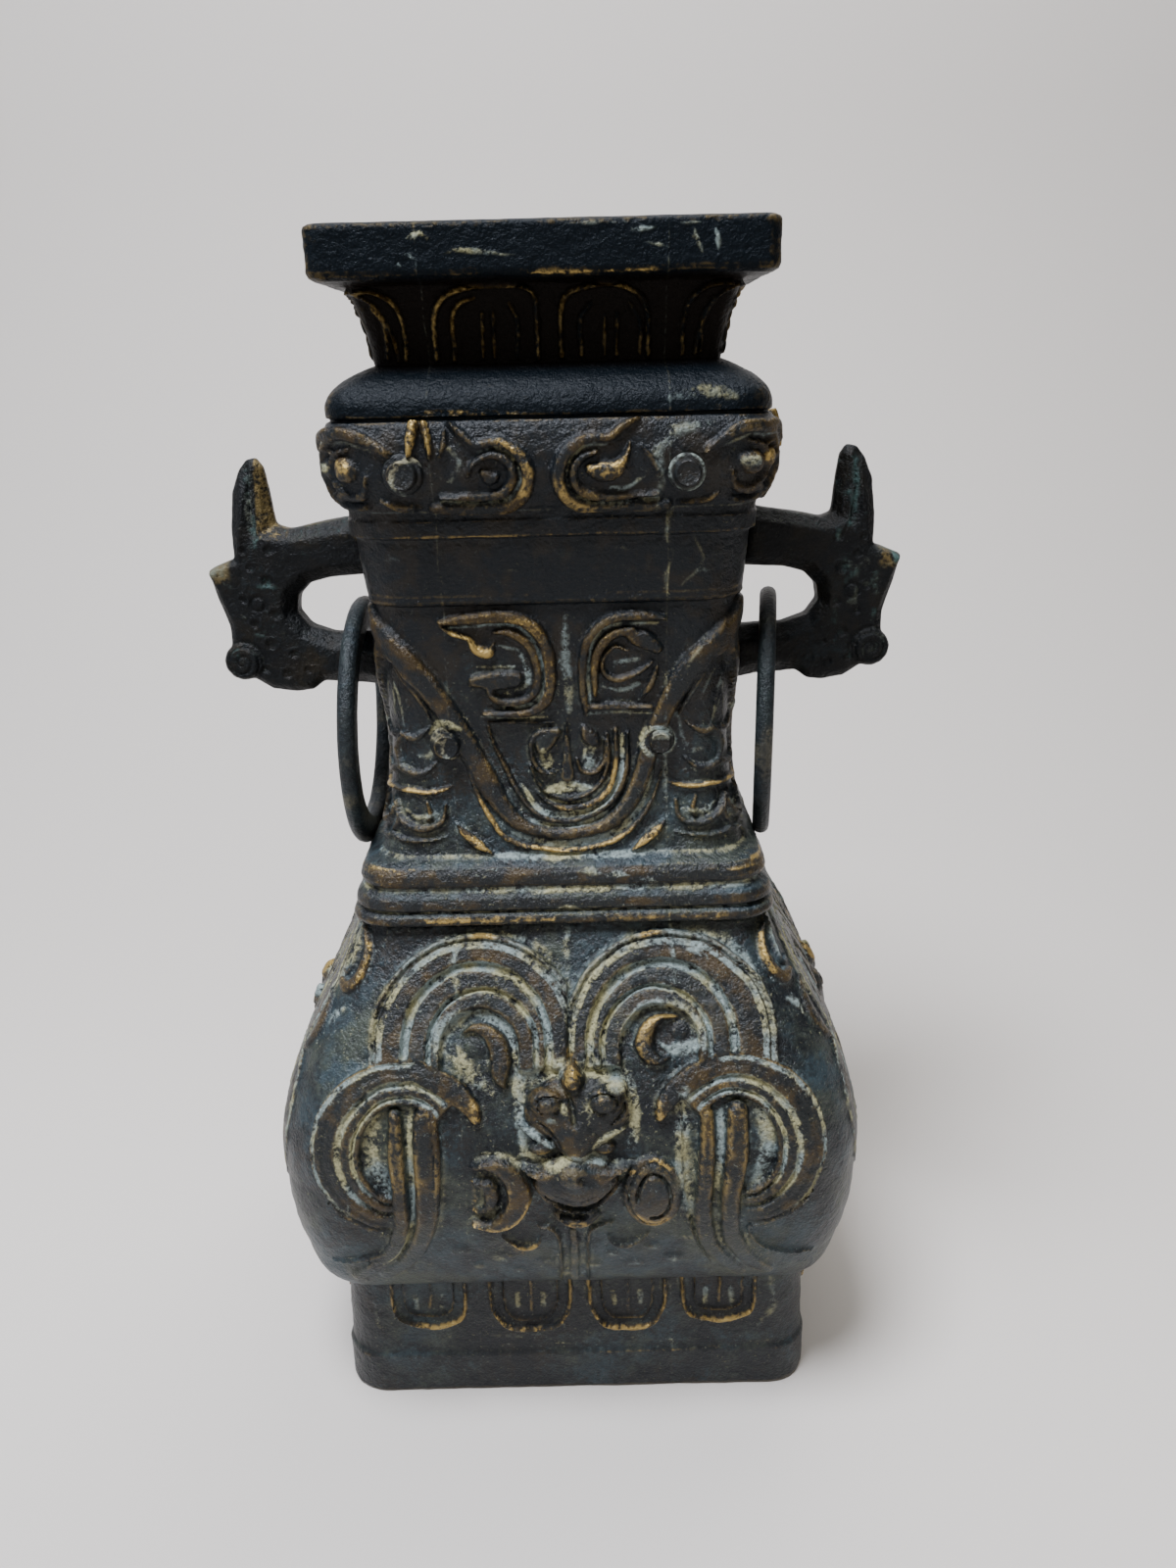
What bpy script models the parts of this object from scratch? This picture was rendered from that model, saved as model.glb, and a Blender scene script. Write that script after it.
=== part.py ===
# Square bronze hu: a tall wine vessel of rounded-rectangle plan, hollow and open at the mouth,
# with a raised foot, a low broad belly, a slim neck and a flanged mouth.
# The front faces -Y, the two dragon handles stand on the -X and +X sides, the vessel rests on z = 0.
# All sizes are metres.
import bpy
import bmesh
from math import atan2, cos, hypot, pi, radians, sin, sqrt
from mathutils import Vector

for old in list(bpy.data.objects):
    bpy.data.objects.remove(old, do_unlink=True)

# Sizes
HEIGHT = 0.380            # foot to rim
WALL = 0.0031             # bronze thickness of the vessel
DEPTH_LESS = 0.0130       # each side wall stands this much further out than the front and back walls
GAP = 0.0003              # hair gap between pieces that meet

PLINTH_TOP = 0.0165       # plain slab at the bottom of the foot
FOOT_TOP = 0.0490         # foot wall ends and the belly starts
FLOOR_Z = 0.0548          # inside floor of the vessel
FOOT_HALF = 0.0808        # half width of the foot wall
PLINTH_OUT = 0.0007       # the slab stands proud of the foot wall
BELLY_HALF = 0.0972       # half width where the belly is widest
BELLY_Z = 0.0940
BELLY_TOP_HALF = 0.0655
NECK_HALF = 0.0537        # slimmest part of the neck
NECK_TALL = 0.0795        # from the ridges up to the plain band
RIDGES_TALL = 0.0220      # three ridges stand between belly and neck
# the mouth part, its bands and the neck hang down from the rim, so that a taller vessel has a taller belly
BAND_LOW = HEIGHT - 0.1040      # plain dark band, with a small step at its lower edge
BAND_TOP = HEIGHT - 0.0843
SCROLL_LOW = HEIGHT - 0.0750    # convex band with the scrolls and pegs
SCROLL_HALF = 0.0660
SCROLL_Z = HEIGHT - 0.0590
GROOVE_Z = HEIGHT - 0.0507      # deep groove between scroll band and shoulder
SHOULDER_TOP = HEIGHT - 0.0382
CROWN_HALF = 0.0497       # waist of the mouth part
FLANGE_LOW = HEIGHT - 0.0138
RIDGE_TOP = BAND_LOW - NECK_TALL
NECK_Z = RIDGE_TOP + NECK_TALL * 385 / 795      # where the neck is slimmest
BELLY_TOP = RIDGE_TOP - RIDGES_TALL     # belly ends under the lowest ridge
BELLY_RISE = BELLY_TOP - BELLY_Z        # upper part of the belly, above the widest place
FLANGE_HALF = 0.0642
CROWN_TOP_HALF = 0.0552   # where the mouth part meets the underside of the flange


# Levels in the pattern are drawn on a vessel 0.380 tall; this table moves them to the real levels
DRAWN = ((0.0, 0.0), (0.0490, FOOT_TOP), (0.0940, BELLY_Z), (0.1745, BELLY_TOP), (0.1965, RIDGE_TOP),
         (0.2760, BAND_LOW), (0.3800, HEIGHT))


# The outline of the vessel
def ease(t):
    return t * t * (3 - 2 * t)


def outer_outline():
    """Heights and half widths of the outside, from the ground up."""
    pts = [(0.0, FOOT_HALF + PLINTH_OUT - 0.0010),
           (0.0012, FOOT_HALF + PLINTH_OUT),
           (PLINTH_TOP - 0.0008, FOOT_HALF + PLINTH_OUT),
           (PLINTH_TOP + 0.0006, FOOT_HALF),
           (FOOT_TOP - 0.0010, FOOT_HALF - 0.0008)]
    # underside of the belly: a quarter round from the foot out to the widest place
    for k in range(1, 7):
        t = radians(90 * k / 6)
        z = FOOT_TOP + (BELLY_Z - FOOT_TOP) * (1 - cos(t))
        pts.append((z, FOOT_HALF + (BELLY_HALF - FOOT_HALF) * sin(t) ** 1.35))
    # upper belly: falls in slowly, then faster, towards the ridges
    for k in range(1, 6):
        t = k / 5
        fall = 0.30 * t ** 2 + 0.70 * ease(t) * t ** 0.60
        pts.append((BELLY_Z + (BELLY_TOP - BELLY_Z) * t, BELLY_HALF - (BELLY_HALF - BELLY_TOP_HALF) * fall))
    # three ridges, each a low round step
    ridge_h = (RIDGE_TOP - BELLY_TOP) / 3
    for k in range(3):
        z0 = BELLY_TOP + k * ridge_h
        base = BELLY_TOP_HALF - k * 0.0018
        pts.append((z0 + 0.0012, base + 0.0026))
        pts.append((z0 + ridge_h * 0.60, base + 0.0022 - 0.0006 * k))
        pts.append((z0 + ridge_h, base - 0.0014 - 0.0009 * k))
    # neck: hollow curve up to the plain band
    foot_of_neck = pts[-1]
    for k in range(1, 4):
        t = k / 3
        z = foot_of_neck[0] + (NECK_Z - foot_of_neck[0]) * t
        pts.append((z, NECK_HALF + (foot_of_neck[1] - NECK_HALF) * (1 - t) ** 1.9))
    pts.append((BAND_LOW - 0.0008, NECK_HALF + 0.0021))
    pts.append((BAND_LOW + 0.0012, NECK_HALF + 0.0037))
    pts.append((BAND_TOP, NECK_HALF + 0.0056))
    pts.append((BAND_TOP + 0.0009, NECK_HALF + 0.0068))
    pts.append((SCROLL_LOW - 0.0022, NECK_HALF + 0.0074))
    pts.append((SCROLL_LOW, NECK_HALF + 0.0078))
    # convex scroll band, groove and shoulder
    pts.append((SCROLL_LOW + 0.0050, SCROLL_HALF - 0.0018))
    pts.append((SCROLL_Z - 0.0055, SCROLL_HALF - 0.0002))
    pts.append((SCROLL_Z, SCROLL_HALF))
    pts.append((GROOVE_Z - 0.0012, SCROLL_HALF - 0.0016))
    pts.append((GROOVE_Z, SCROLL_HALF - 0.0040))
    pts.append((GROOVE_Z + 0.0012, SCROLL_HALF - 0.0028))
    drop = SHOULDER_TOP - GROOVE_Z - 0.0012
    rim_in = SCROLL_HALF - 0.0028 - CROWN_HALF
    for k in range(1, 5):
        t = k / 4
        pts.append((GROOVE_Z + 0.0012 + drop * t, CROWN_HALF + rim_in * (1 - t ** 1.9)))
    # mouth part: flares up to the underside of the flange
    for k in range(1, 3):
        t = k / 2
        z = SHOULDER_TOP + (FLANGE_LOW - 0.0016 - SHOULDER_TOP) * t
        pts.append((z, CROWN_HALF + (CROWN_TOP_HALF - CROWN_HALF) * t ** 1.7))
    pts.append((FLANGE_LOW - 0.0006, FLANGE_HALF - 0.0018))
    pts.append((FLANGE_LOW + 0.0012, FLANGE_HALF - 0.0002))
    pts.append((HEIGHT - 0.0012, FLANGE_HALF))
    pts.append((HEIGHT, FLANGE_HALF - 0.0012))
    return pts


OUTLINE = outer_outline()
CORNERS = [(0.0, 0.0135), (FOOT_TOP, 0.0140), (FOOT_TOP + 0.0150, 0.0250), (BELLY_Z, 0.0280),
           (BELLY_Z + BELLY_RISE * 46 / 80.5, 0.0230),
           (BELLY_TOP, 0.0140), (NECK_Z, 0.0120), (BAND_TOP, 0.0150), (SCROLL_Z, 0.0180),
           (SHOULDER_TOP, 0.0050), (FLANGE_LOW, 0.0045), (HEIGHT, 0.0045)]


def along(table, z):
    """Straight-line reading of a table of (height, value)."""
    for (z0, v0), (z1, v1) in zip(table, table[1:]):
        if z <= z1:
            return v0 if z <= z0 else v0 + (v1 - v0) * (z - z0) / (z1 - z0)
    return table[-1][1]


def slant(z):
    """How much longer a step outward is than the same step square to the wall."""
    d = 0.004
    fall = (along(OUTLINE, z + d) - along(OUTLINE, z - d)) / (2 * d)
    return min(sqrt(1 + fall * fall), 1.6)


def section(half, radius, z, steps=3, less=DEPTH_LESS):
    """One level of the vessel: a rectangle with round corners, counter-clockwise seen from above."""
    out = []
    for qx, qy, start in ((1, -1, -90), (1, 1, 0), (-1, 1, 90), (-1, -1, 180)):
        cx = qx * (half - radius)
        cy = qy * (half - less - radius)
        for k in range(steps + 1):
            t = radians(start + 90 * k / steps)
            out.append(Vector((cx + radius * cos(t), cy + radius * sin(t), z)))
    return out


def real_level(z):
    """The real level of a level drawn on the pattern."""
    return z if all(abs(v - d) < 1e-9 for d, v in DRAWN) else along(DRAWN, z)


def on_skin(face, a, z, lift):
    """A point on the outside: face 0 front, 1 right, 2 back, 3 left; a runs level along the wall from
    the middle of that face and goes round the corner; lift stands off the wall."""
    z = real_level(z)
    half = along(OUTLINE, z)
    deep = half - DEPTH_LESS
    if face in (1, 3):
        half, deep = deep, half
    r = along(CORNERS, z)
    e = lift * slant(z)
    flat = half - r
    s = 1 if a >= 0 else -1
    m = abs(a)
    if m <= flat:
        x, y = m, -(deep + e)
    else:
        t = min((m - flat) / r, pi / 2)
        over = max(m - flat - r * pi / 2, 0.0)
        x = flat + (r + e) * sin(t)
        y = -(deep - r) - (r + e) * cos(t) + over
    x *= s
    for _ in range(face):
        x, y = -y, x
    return Vector((x, y, z))


# Helpers
def make_collection(name):
    col = bpy.data.collections.new(name)
    bpy.context.scene.collection.children.link(col)
    return col


PARTS = make_collection("square_hu")
CUTTERS = make_collection("cutters")


def make_material(name, colour, rough):
    mat = bpy.data.materials.new(name)
    mat.use_nodes = True
    shader = mat.node_tree.nodes["Principled BSDF"]
    shader.inputs["Base Color"].default_value = (*colour, 1)
    shader.inputs["Metallic"].default_value = 1.0
    shader.inputs["Roughness"].default_value = rough
    mat.diffuse_color = (*colour, 1)
    return mat


def to_object(bm, name, collection, material=None, smooth=False):
    bmesh.ops.remove_doubles(bm, verts=bm.verts, dist=0.000001)
    bmesh.ops.recalc_face_normals(bm, faces=bm.faces)
    mesh = bpy.data.meshes.new(name)
    bm.to_mesh(mesh)
    bm.free()
    for poly in mesh.polygons:
        poly.use_smooth = smooth
    obj = bpy.data.objects.new(name, mesh)
    collection.objects.link(obj)
    if material:
        mesh.materials.append(material)
    if collection is CUTTERS:
        obj.hide_render = True
        obj.display_type = 'WIRE'
    return obj


def skin_rings(bm, rings, closed_ends=True):
    """Joins rings of points into a tube, with flat ends."""
    rows = [[bm.verts.new(p) for p in ring] for ring in rings]
    n = len(rows[0])
    for lower, upper in zip(rows, rows[1:]):
        for k in range(n):
            bm.faces.new((lower[k], lower[(k + 1) % n], upper[(k + 1) % n], upper[k]))
    if closed_ends:
        bm.faces.new(list(reversed(rows[0])))
        bm.faces.new(rows[-1])
    return rows


def boolean(target, tool, kind, crossing=False):
    mod = target.modifiers.new(tool.name, 'BOOLEAN')
    mod.operation = kind
    mod.solver = 'EXACT'
    mod.use_self = crossing
    mod.object = tool
    return mod


# Raised work on the vessel
def arc(ca, cz, ra, rz, start, end, steps):
    """Part of an oval, by angle from level, counter-clockwise."""
    out = []
    for k in range(steps + 1):
        t = radians(start + (end - start) * k / steps)
        out.append((ca + ra * cos(t), cz + rz * sin(t)))
    return out


def ribbon(bm, face, side, path, width, lift, sink=0.0012, taper=(1.0, 1.0), crown=0.72, roof=False):
    """A raised band that follows a path on the wall; taper narrows its two ends.
    A roof band is narrow and rises to one line, the others are flat on top."""
    pts = [(side * a, z) for a, z in path]
    n = len(pts)
    rings = []
    for i, (a, z) in enumerate(pts):
        a0, z0 = pts[max(i - 1, 0)]
        a1, z1 = pts[min(i + 1, n - 1)]
        run = hypot(a1 - a0, z1 - z0)
        na, nz = -(z1 - z0) / run, (a1 - a0) / run
        t = i / (n - 1)
        w = 0.5 * width
        w *= min(1.0, taper[0] + (1 - taper[0]) * t * 4, taper[1] + (1 - taper[1]) * (1 - t) * 4)
        edge = [(w, -sink), (w * crown, lift), (-w * crown, lift), (-w, -sink)]
        if roof:
            edge = [(w * 1.3, -sink), (0.0, lift * 1.15), (-w * 1.3, -sink)]
        rings.append([on_skin(face, a + na * e, z + nz * e, h) for e, h in edge])
    skin_rings(bm, rings)


def boss(bm, face, a, z, ra, rz, height, sides=10, sink=0.0015):
    """A rounded knob on the wall."""
    rings = []
    for reach, rise in ((1.0, -sink), (0.92, 0.45 * height), (0.45, height)):
        rings.append([on_skin(face, a + ra * reach * cos(2 * pi * k / sides),
                              z + rz * reach * sin(2 * pi * k / sides), rise) for k in range(sides)])
    skin_rings(bm, rings)


def peg(bm, face, a, z, radius, out, collar, sides=8):
    """A short round pin with a collar, square to the wall."""
    mid = on_skin(face, a, z, 0.0)
    tip = on_skin(face, a, z, 0.01)
    axis = Vector((tip.x - mid.x, tip.y - mid.y, 0)).normalized()
    level = Vector((-axis.y, axis.x, 0))
    rings = []
    for r, d in ((collar, -0.0020), (collar * 0.94, 0.0014), (radius, 0.0016), (radius * 0.92, out)):
        rings.append([mid + axis * d + level * (r * cos(2 * pi * k / sides))
                      + Vector((0, 0, r * sin(2 * pi * k / sides))) for k in range(sides)])
    skin_rings(bm, rings)


# belly motif sizes
ARCH_A = 0.0305           # centre of each horseshoe arch from the middle of the face
ARCH_Z = 0.1410
ARCH_BANDS = ((0.0272, 0.0068, 8), (0.0178, 0.0062, 7))      # mid radius, width, steps
LOOP_A = 0.0530           # centre of each side loop
LOOP_Z = 0.1105
LOOP_BANDS = ((0.0268, 0.0068, 10), (0.0180, 0.0052, 7))
STRAP_A = (0.0442, 0.0542)                                   # two upright straps through each loop
STRAP_W = 0.0078
STRAP_TOP = 0.1260
STRAP_LOW = 0.0620
CURL_A = 0.0250
CURL_Z = 0.0940


def belly_arches(faces, squeeze):
    bm = bmesh.new()
    for face in faces:
        k = squeeze[face]
        for side in (-1, 1):
            for r, w, steps in ARCH_BANDS[:2 if face == 0 else 1]:
                path = arc(ARCH_A * k, ARCH_Z, r * k * 1.02, r, -6, 186, steps - face % 2 * 2)
                ribbon(bm, face, side, path, w * k ** 0.5, 0.0016)
    return to_object(bm, "belly_arches", CUTTERS)


def belly_loops(faces, squeeze):
    bm = bmesh.new()
    for face in faces:
        k = squeeze[face]
        for side in (-1, 1):
            for r, w, steps in LOOP_BANDS[:2 if face == 0 else 1]:
                last = 248 if r > 0.02 else 235
                path = arc(LOOP_A * k, LOOP_Z, r * k, r, 28, last, steps - face % 2 * 2)
                ribbon(bm, face, side, path, w * k ** 0.5, 0.0021, taper=(0.8, 0.9))
    return to_object(bm, "belly_loops", CUTTERS)


def belly_straps(faces, squeeze):
    bm = bmesh.new()
    for face in faces:
        k = squeeze[face]
        for side in (-1, 1):
            for a in STRAP_A:
                path = []
                for t in (0.0, 0.5, 0.78, 1.0):
                    z = STRAP_TOP - (STRAP_TOP - STRAP_LOW) * t
                    path.append((a * k + 0.0240 * max(t - 0.5, 0) ** 1.3, z))
                ribbon(bm, face, side, path, STRAP_W * k, 0.0026)
    return to_object(bm, "belly_straps", CUTTERS)


def belly_curls(faces):
    """Small curls: one beside the snout and one inside each arch."""
    bm = bmesh.new()
    for face in faces:
        for side in (-1, 1):
            path = arc(CURL_A, CURL_Z, 0.0065, 0.0095, 150, -100, 5)
            ribbon(bm, face, side, path, 0.0052, 0.0017, taper=(0.6, 0.6), roof=True)
            path = arc(ARCH_A - 0.0035, ARCH_Z - 0.001, 0.0075, 0.0085, 150, -40, 4)
            ribbon(bm, face, side, path, 0.0050, 0.0016, taper=(0.4, 0.6), roof=True)
    return to_object(bm, "belly_curls", CUTTERS)


def mask_face(faces):
    """Animal mask in the middle of the belly: brow, then on it eyes, horn, cheeks and snout."""
    low = bmesh.new()
    high = bmesh.new()
    for face in faces:
        boss(low, face, 0.0, 0.1215, 0.0160, 0.0120, 0.0030, 10)
        boss(low, face, 0.0, 0.0860, 0.0070, 0.0050, 0.0030, 8)
        boss(high, face, 0.0, 0.1000, 0.0110, 0.0090, 0.0095, 10)
        if face == 2:
            continue
        boss(high, face, 0.0, 0.1362, 0.0042, 0.0055, 0.0062, 6)
        for side in (-1, 1):
            boss(high, face, side * 0.0088, 0.1250, 0.0052, 0.0052, 0.0062, 8)
            boss(high, face, side * 0.0110, 0.1125, 0.0050, 0.0032, 0.0048, 6)
    return to_object(low, "mask_low", CUTTERS), to_object(high, "mask_high", CUTTERS)


def neck_waves(faces, squeeze):
    """Broad hanging wave: it leaves the top corners and meets low in the middle, in two bands."""
    bm = bmesh.new()
    for face in faces:
        k = squeeze[face]
        for inset, w, steps in ((0.0, 0.0052, 12), (0.0085, 0.0056, 10)):
            path = []
            for i in range(steps + 1):
                u = -1 + 2 * i / steps
                m = abs(u)
                a = (0.0470 - inset) * (0.62 * sin(min(m * 1.55, 1.0) * pi / 2) + 0.38 * m ** 3)
                z = 0.2010 + inset * 0.95 + (0.0690 - inset * 0.75) * m ** 2.1
                path.append(((a if u > 0 else -a) * k, z))
            ribbon(bm, face, 1, path, w * k ** 0.5, 0.0016)
    return to_object(bm, "neck_waves", CUTTERS)


def neck_scrolls(faces):
    """Squared C-scrolls in the upper corners and a small anchor in the bend of the wave."""
    bm = bmesh.new()
    for face in faces:
        for side in (-1, 1):
            bend = arc(0.0168, 0.2580, 0.0115, 0.0145, 90, 270, 5)
            path = [(0.0270, 0.2715)] + bend + [(0.0225, 0.2432)]
            ribbon(bm, face, side, path, 0.0040, 0.0015, roof=True)
            if face == 2:
                continue
            inner = arc(0.0180, 0.2580, 0.0060, 0.0085, 60, 285, 5)
            ribbon(bm, face, side, inner, 0.0036, 0.0013, taper=(0.6, 0.6), roof=True)
            hook = arc(0.0085, 0.2290, 0.0040, 0.0050, 110, -80, 4)
            ribbon(bm, face, side, hook, 0.0034, 0.0013, taper=(0.8, 0.5), roof=True)
            leaf = [(0.0330, 0.2065), (0.0292, 0.2035), (0.0262, 0.2000)]
            ribbon(bm, face, side, leaf, 0.0044, 0.0014, taper=(0.3, 0.3), roof=True)
    return to_object(bm, "neck_scrolls", CUTTERS)


def band_scrolls(faces):
    """Scrolls of the convex band: a C-scroll each side of the middle and an oval curl at each corner."""
    bm = bmesh.new()
    for face in faces:
        for side in (-1, 1):
            path = [(0.0330, 0.3065)] + arc(0.0155, 0.3150, 0.0105, 0.0085, -90, -275, 6) + [(0.0240, 0.3265)]
            ribbon(bm, face, side, path, 0.0034, 0.0015, taper=(1.0, 0.4), roof=True)
            if face == 0:
                outer = arc(0.0560, 0.3155, 0.0105, 0.0100, -60, 150, 6)
                ribbon(bm, face, side, outer, 0.0034, 0.0015, taper=(0.6, 1.0), roof=True)
                ribbon(bm, face, side, arc(0.0160, 0.3150, 0.0050, 0.0038, 200, -60, 5), 0.0034, 0.0013,
                       taper=(0.8, 0.5), roof=True)
    return to_object(bm, "band_scrolls", CUTTERS)


def bosses_and_pegs(faces):
    bm = bmesh.new()
    for face in faces:
        for side in (-1, 1):
            sides = 8 if face == 0 else 6
            peg(bm, face, side * 0.0400, 0.3152, 0.0036, 0.0070, 0.0052, sides)
            peg(bm, face, side * 0.0330, 0.2330, 0.0034, 0.0060, 0.0050, sides)
            if face == 0:
                boss(bm, face, side * 0.0560, 0.3160, 0.0030, 0.0040, 0.0020, 6)
    return to_object(bm, "pegs", CUTTERS)


def panels(faces, centres, half_w, top, bottom, line, lift, name, upright):
    """Row of arched panels; upright ones are round at the top, the others round at the bottom."""
    bm = bmesh.new()
    for face in faces:
        for a in centres[face]:
            r = half_w * 0.50
            near, far = (bottom, top) if upright else (top, bottom)
            bend = -r if upright else r
            path = [(a - half_w, near), (a - half_w, far + bend), (a - half_w + r, far),
                    (a + half_w - r, far), (a + half_w, far + bend), (a + half_w, near)]
            ribbon(bm, face, 1, path, line, lift, roof=True)
            if face == 0:
                ribbon(bm, face, 1, [(a, near), (a, far + 1.2 * bend)], line * 1.6, lift * 0.8, roof=True)
    return to_object(bm, name, CUTTERS)


# The vessel
def make_body():
    bm = bmesh.new()
    skin_rings(bm, [section(h, along(CORNERS, z), z) for z, h in OUTLINE])
    mat = make_material("bronze_dark_brown", (0.10, 0.075, 0.045), 0.45)
    body = to_object(bm, "hu_body", PARTS, mat)

    # room inside: follows the outside at the wall thickness, leaving out the small steps
    rings = []
    for z in (FLOOR_Z, FLOOR_Z + 0.0060, BELLY_Z - 0.0160, BELLY_Z, BELLY_Z + BELLY_RISE * 24 / 80.5,
              BELLY_Z + BELLY_RISE * 42 / 80.5, BELLY_Z + BELLY_RISE * 60 / 80.5, BELLY_TOP - 0.0030,
              BELLY_TOP + 0.0060, RIDGE_TOP, NECK_Z, BAND_LOW, SCROLL_LOW, SCROLL_Z, GROOVE_Z + 0.0020,
              SHOULDER_TOP - 0.0030, SHOULDER_TOP + 0.0020, FLANGE_LOW, HEIGHT + 0.0040):
        at = min(z, FLANGE_LOW - 0.0018)
        half = min(along(OUTLINE, at + dz) for dz in (-0.003, -0.0015, 0.0, 0.0015, 0.003)) - WALL * slant(at)
        if z == FLOOR_Z:
            half -= 0.0060
        rings.append(section(half, max(along(CORNERS, at) - WALL, 0.004), z, 2))
    bm = bmesh.new()
    skin_rings(bm, rings)
    room = to_object(bm, "room_inside", CUTTERS)

    bm = bmesh.new()
    skin_rings(bm, [section(FOOT_HALF - WALL - 0.0005, 0.0090, -0.004, 2),
                    section(FOOT_HALF - WALL - 0.0010, 0.0090, FOOT_TOP - 0.0060, 2),
                    section(FOOT_HALF - WALL - 0.0070, 0.0060, FOOT_TOP, 2)])
    hollow = to_object(bm, "foot_hollow", CUTTERS)

    all_faces = (0, 1, 2, 3)
    wide = (0, 2)
    squeeze = {0: 1.0, 1: 0.80, 2: 1.0, 3: 0.80}
    tools = [belly_arches(all_faces, squeeze), belly_loops(all_faces, squeeze),
             belly_straps(wide, squeeze), belly_curls((0,))]
    tools += list(mask_face(wide))
    tools += [neck_waves(wide, squeeze), neck_scrolls(wide), band_scrolls(wide), bosses_and_pegs(wide)]
    foot_rows = {0: (-0.0505, -0.0170, 0.0170, 0.0505), 1: (-0.0340, 0.0, 0.0340),
                 2: (-0.0505, -0.0170, 0.0170, 0.0505), 3: (-0.0340, 0.0, 0.0340)}
    tools.append(panels(all_faces, foot_rows, 0.0125, 0.0475, 0.0290, 0.0020, 0.0011,
                        "foot_panels", False))
    crown_rows = {0: (-0.0165, 0.0165), 1: (0.0,), 2: (-0.0165, 0.0165), 3: (0.0,)}
    tools.append(panels(all_faces, crown_rows, 0.0125, 0.3627, 0.3438, 0.0020,
                        0.0010, "crown_panels", True))
    for tool in tools:
        boolean(body, tool, 'UNION', tool.name == "belly_arches")
    boolean(body, room, 'DIFFERENCE')
    boolean(body, hollow, 'DIFFERENCE')
    return body


# Handles
HANDLE_HALF = 0.0075      # half thickness of arms and head, front to back
ARM_CHAMFER = 0.0042
LOWER_LOW = 0.2430        # lower arm, which carries the ring
LOWER_TOP = 0.2602
UPPER_LOW = 0.2790
UPPER_TOP = 0.2975
HEAD_IN = 0.0866          # inner end of the finger loop
HEAD_OUT = 0.1043
EAR_TOP = 0.3175
NOSE_OUT = 0.1138
CHEEK_X = 0.1046
CHEEK_Z = 0.2522
CHEEK_R = 0.0064
HANDLE_UP = BAND_LOW - 0.2760   # the levels above go up and down with the plain band of the vessel


def root_line(z_from, z_to, steps):
    """The end of an arm, cut to the slope of the vessel side, a hair away from it."""
    out = []
    for k in range(steps + 1):
        z = z_from + (z_to - z_from) * k / steps
        worst = max(along(OUTLINE, z + HANDLE_UP + dz) for dz in (-0.0024, -0.0012, 0, 0.0012, 0.0024))
        out.append((worst + GAP * 1.3, z))
    return out


def handle_outline():
    """Side view of a handle, round the outside from the upper root and back along the loop.
    Each entry: x, z, chamfer, half thickness at the full edge."""
    t = HANDLE_HALF
    c = ARM_CHAMFER
    arm = t - c
    pts = [(x, z, c, arm) for x, z in root_line(UPPER_LOW + 0.0012, UPPER_TOP + 0.0020, 3)]
    pts += [(0.0680, UPPER_TOP + 0.0008, c, arm),
            (0.0780, UPPER_TOP - 0.0008, c, arm),
            (0.0868, UPPER_TOP - 0.0026, 0.0036, arm)]
    # ear: a tall blade, leaning a little outward, with a blunt tip
    pts += [(0.0904, UPPER_TOP - 0.0010, 0.0052, 0.0014),
            (0.0914, 0.3070, 0.0056, 0.0014),
            (0.0924, EAR_TOP - 0.0030, 0.0044, 0.0012),
            (0.0946, EAR_TOP, 0.0034, 0.0012),
            (0.0979, EAR_TOP - 0.0005, 0.0034, 0.0012),
            (0.1006, EAR_TOP - 0.0040, 0.0040, 0.0014),
            (0.1033, 0.3070, 0.0044, 0.0018),
            (HEAD_OUT, 0.2960, 0.0036, 0.0040),
            (HEAD_OUT - 0.0002, 0.2860, 0.0020, 0.0055)]
    # nose turned up to a point, forehead below it
    pts += [(0.1082, 0.2846, 0.0012, 0.0045),
            (NOSE_OUT, 0.2822, 0.0010, 0.0028),
            (0.1114, 0.2740, 0.0022, 0.0045),
            (0.1082, 0.2640, 0.0026, 0.0050)]
    # round cheek, jaw and the step back to the lower arm
    for k in range(4):
        a = radians(30 - 40 * k)
        pts.append((CHEEK_X + (CHEEK_R - 0.0024) * cos(a), CHEEK_Z + (CHEEK_R - 0.0024) * sin(a),
                    0.0016, 0.0058))
    pts += [(0.0962, 0.2424, 0.0024, 0.0055),
            (0.0890, 0.2412, 0.0026, 0.0055),
            (0.0835, 0.2418, 0.0026, 0.0055),
            (0.0795, 0.2446, 0.0030, 0.0045),
            (0.0755, LOWER_LOW + 0.0006, c + 0.0008, arm - 0.0010),
            (0.0660, LOWER_LOW, c + 0.0008, arm - 0.0010)]
    pts += [(x, z, c + 0.0006, arm - 0.0010) for x, z in root_line(LOWER_LOW - 0.0022, LOWER_TOP - 0.0006, 2)]
    # finger loop, back to the upper root
    pts += [(0.0660, LOWER_TOP, c + 0.0008, arm - 0.0010),
            (0.0750, LOWER_TOP + 0.0003, c + 0.0008, arm - 0.0010),
            (HEAD_IN - 0.0035, 0.2630, c, arm),
            (HEAD_IN, 0.2680, c, arm),
            (HEAD_IN - 0.0008, 0.2732, c, arm),
            (HEAD_IN - 0.0050, 0.2774, c, arm),
            (0.0745, UPPER_LOW + 0.0002, c, arm)]
    return pts


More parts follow.
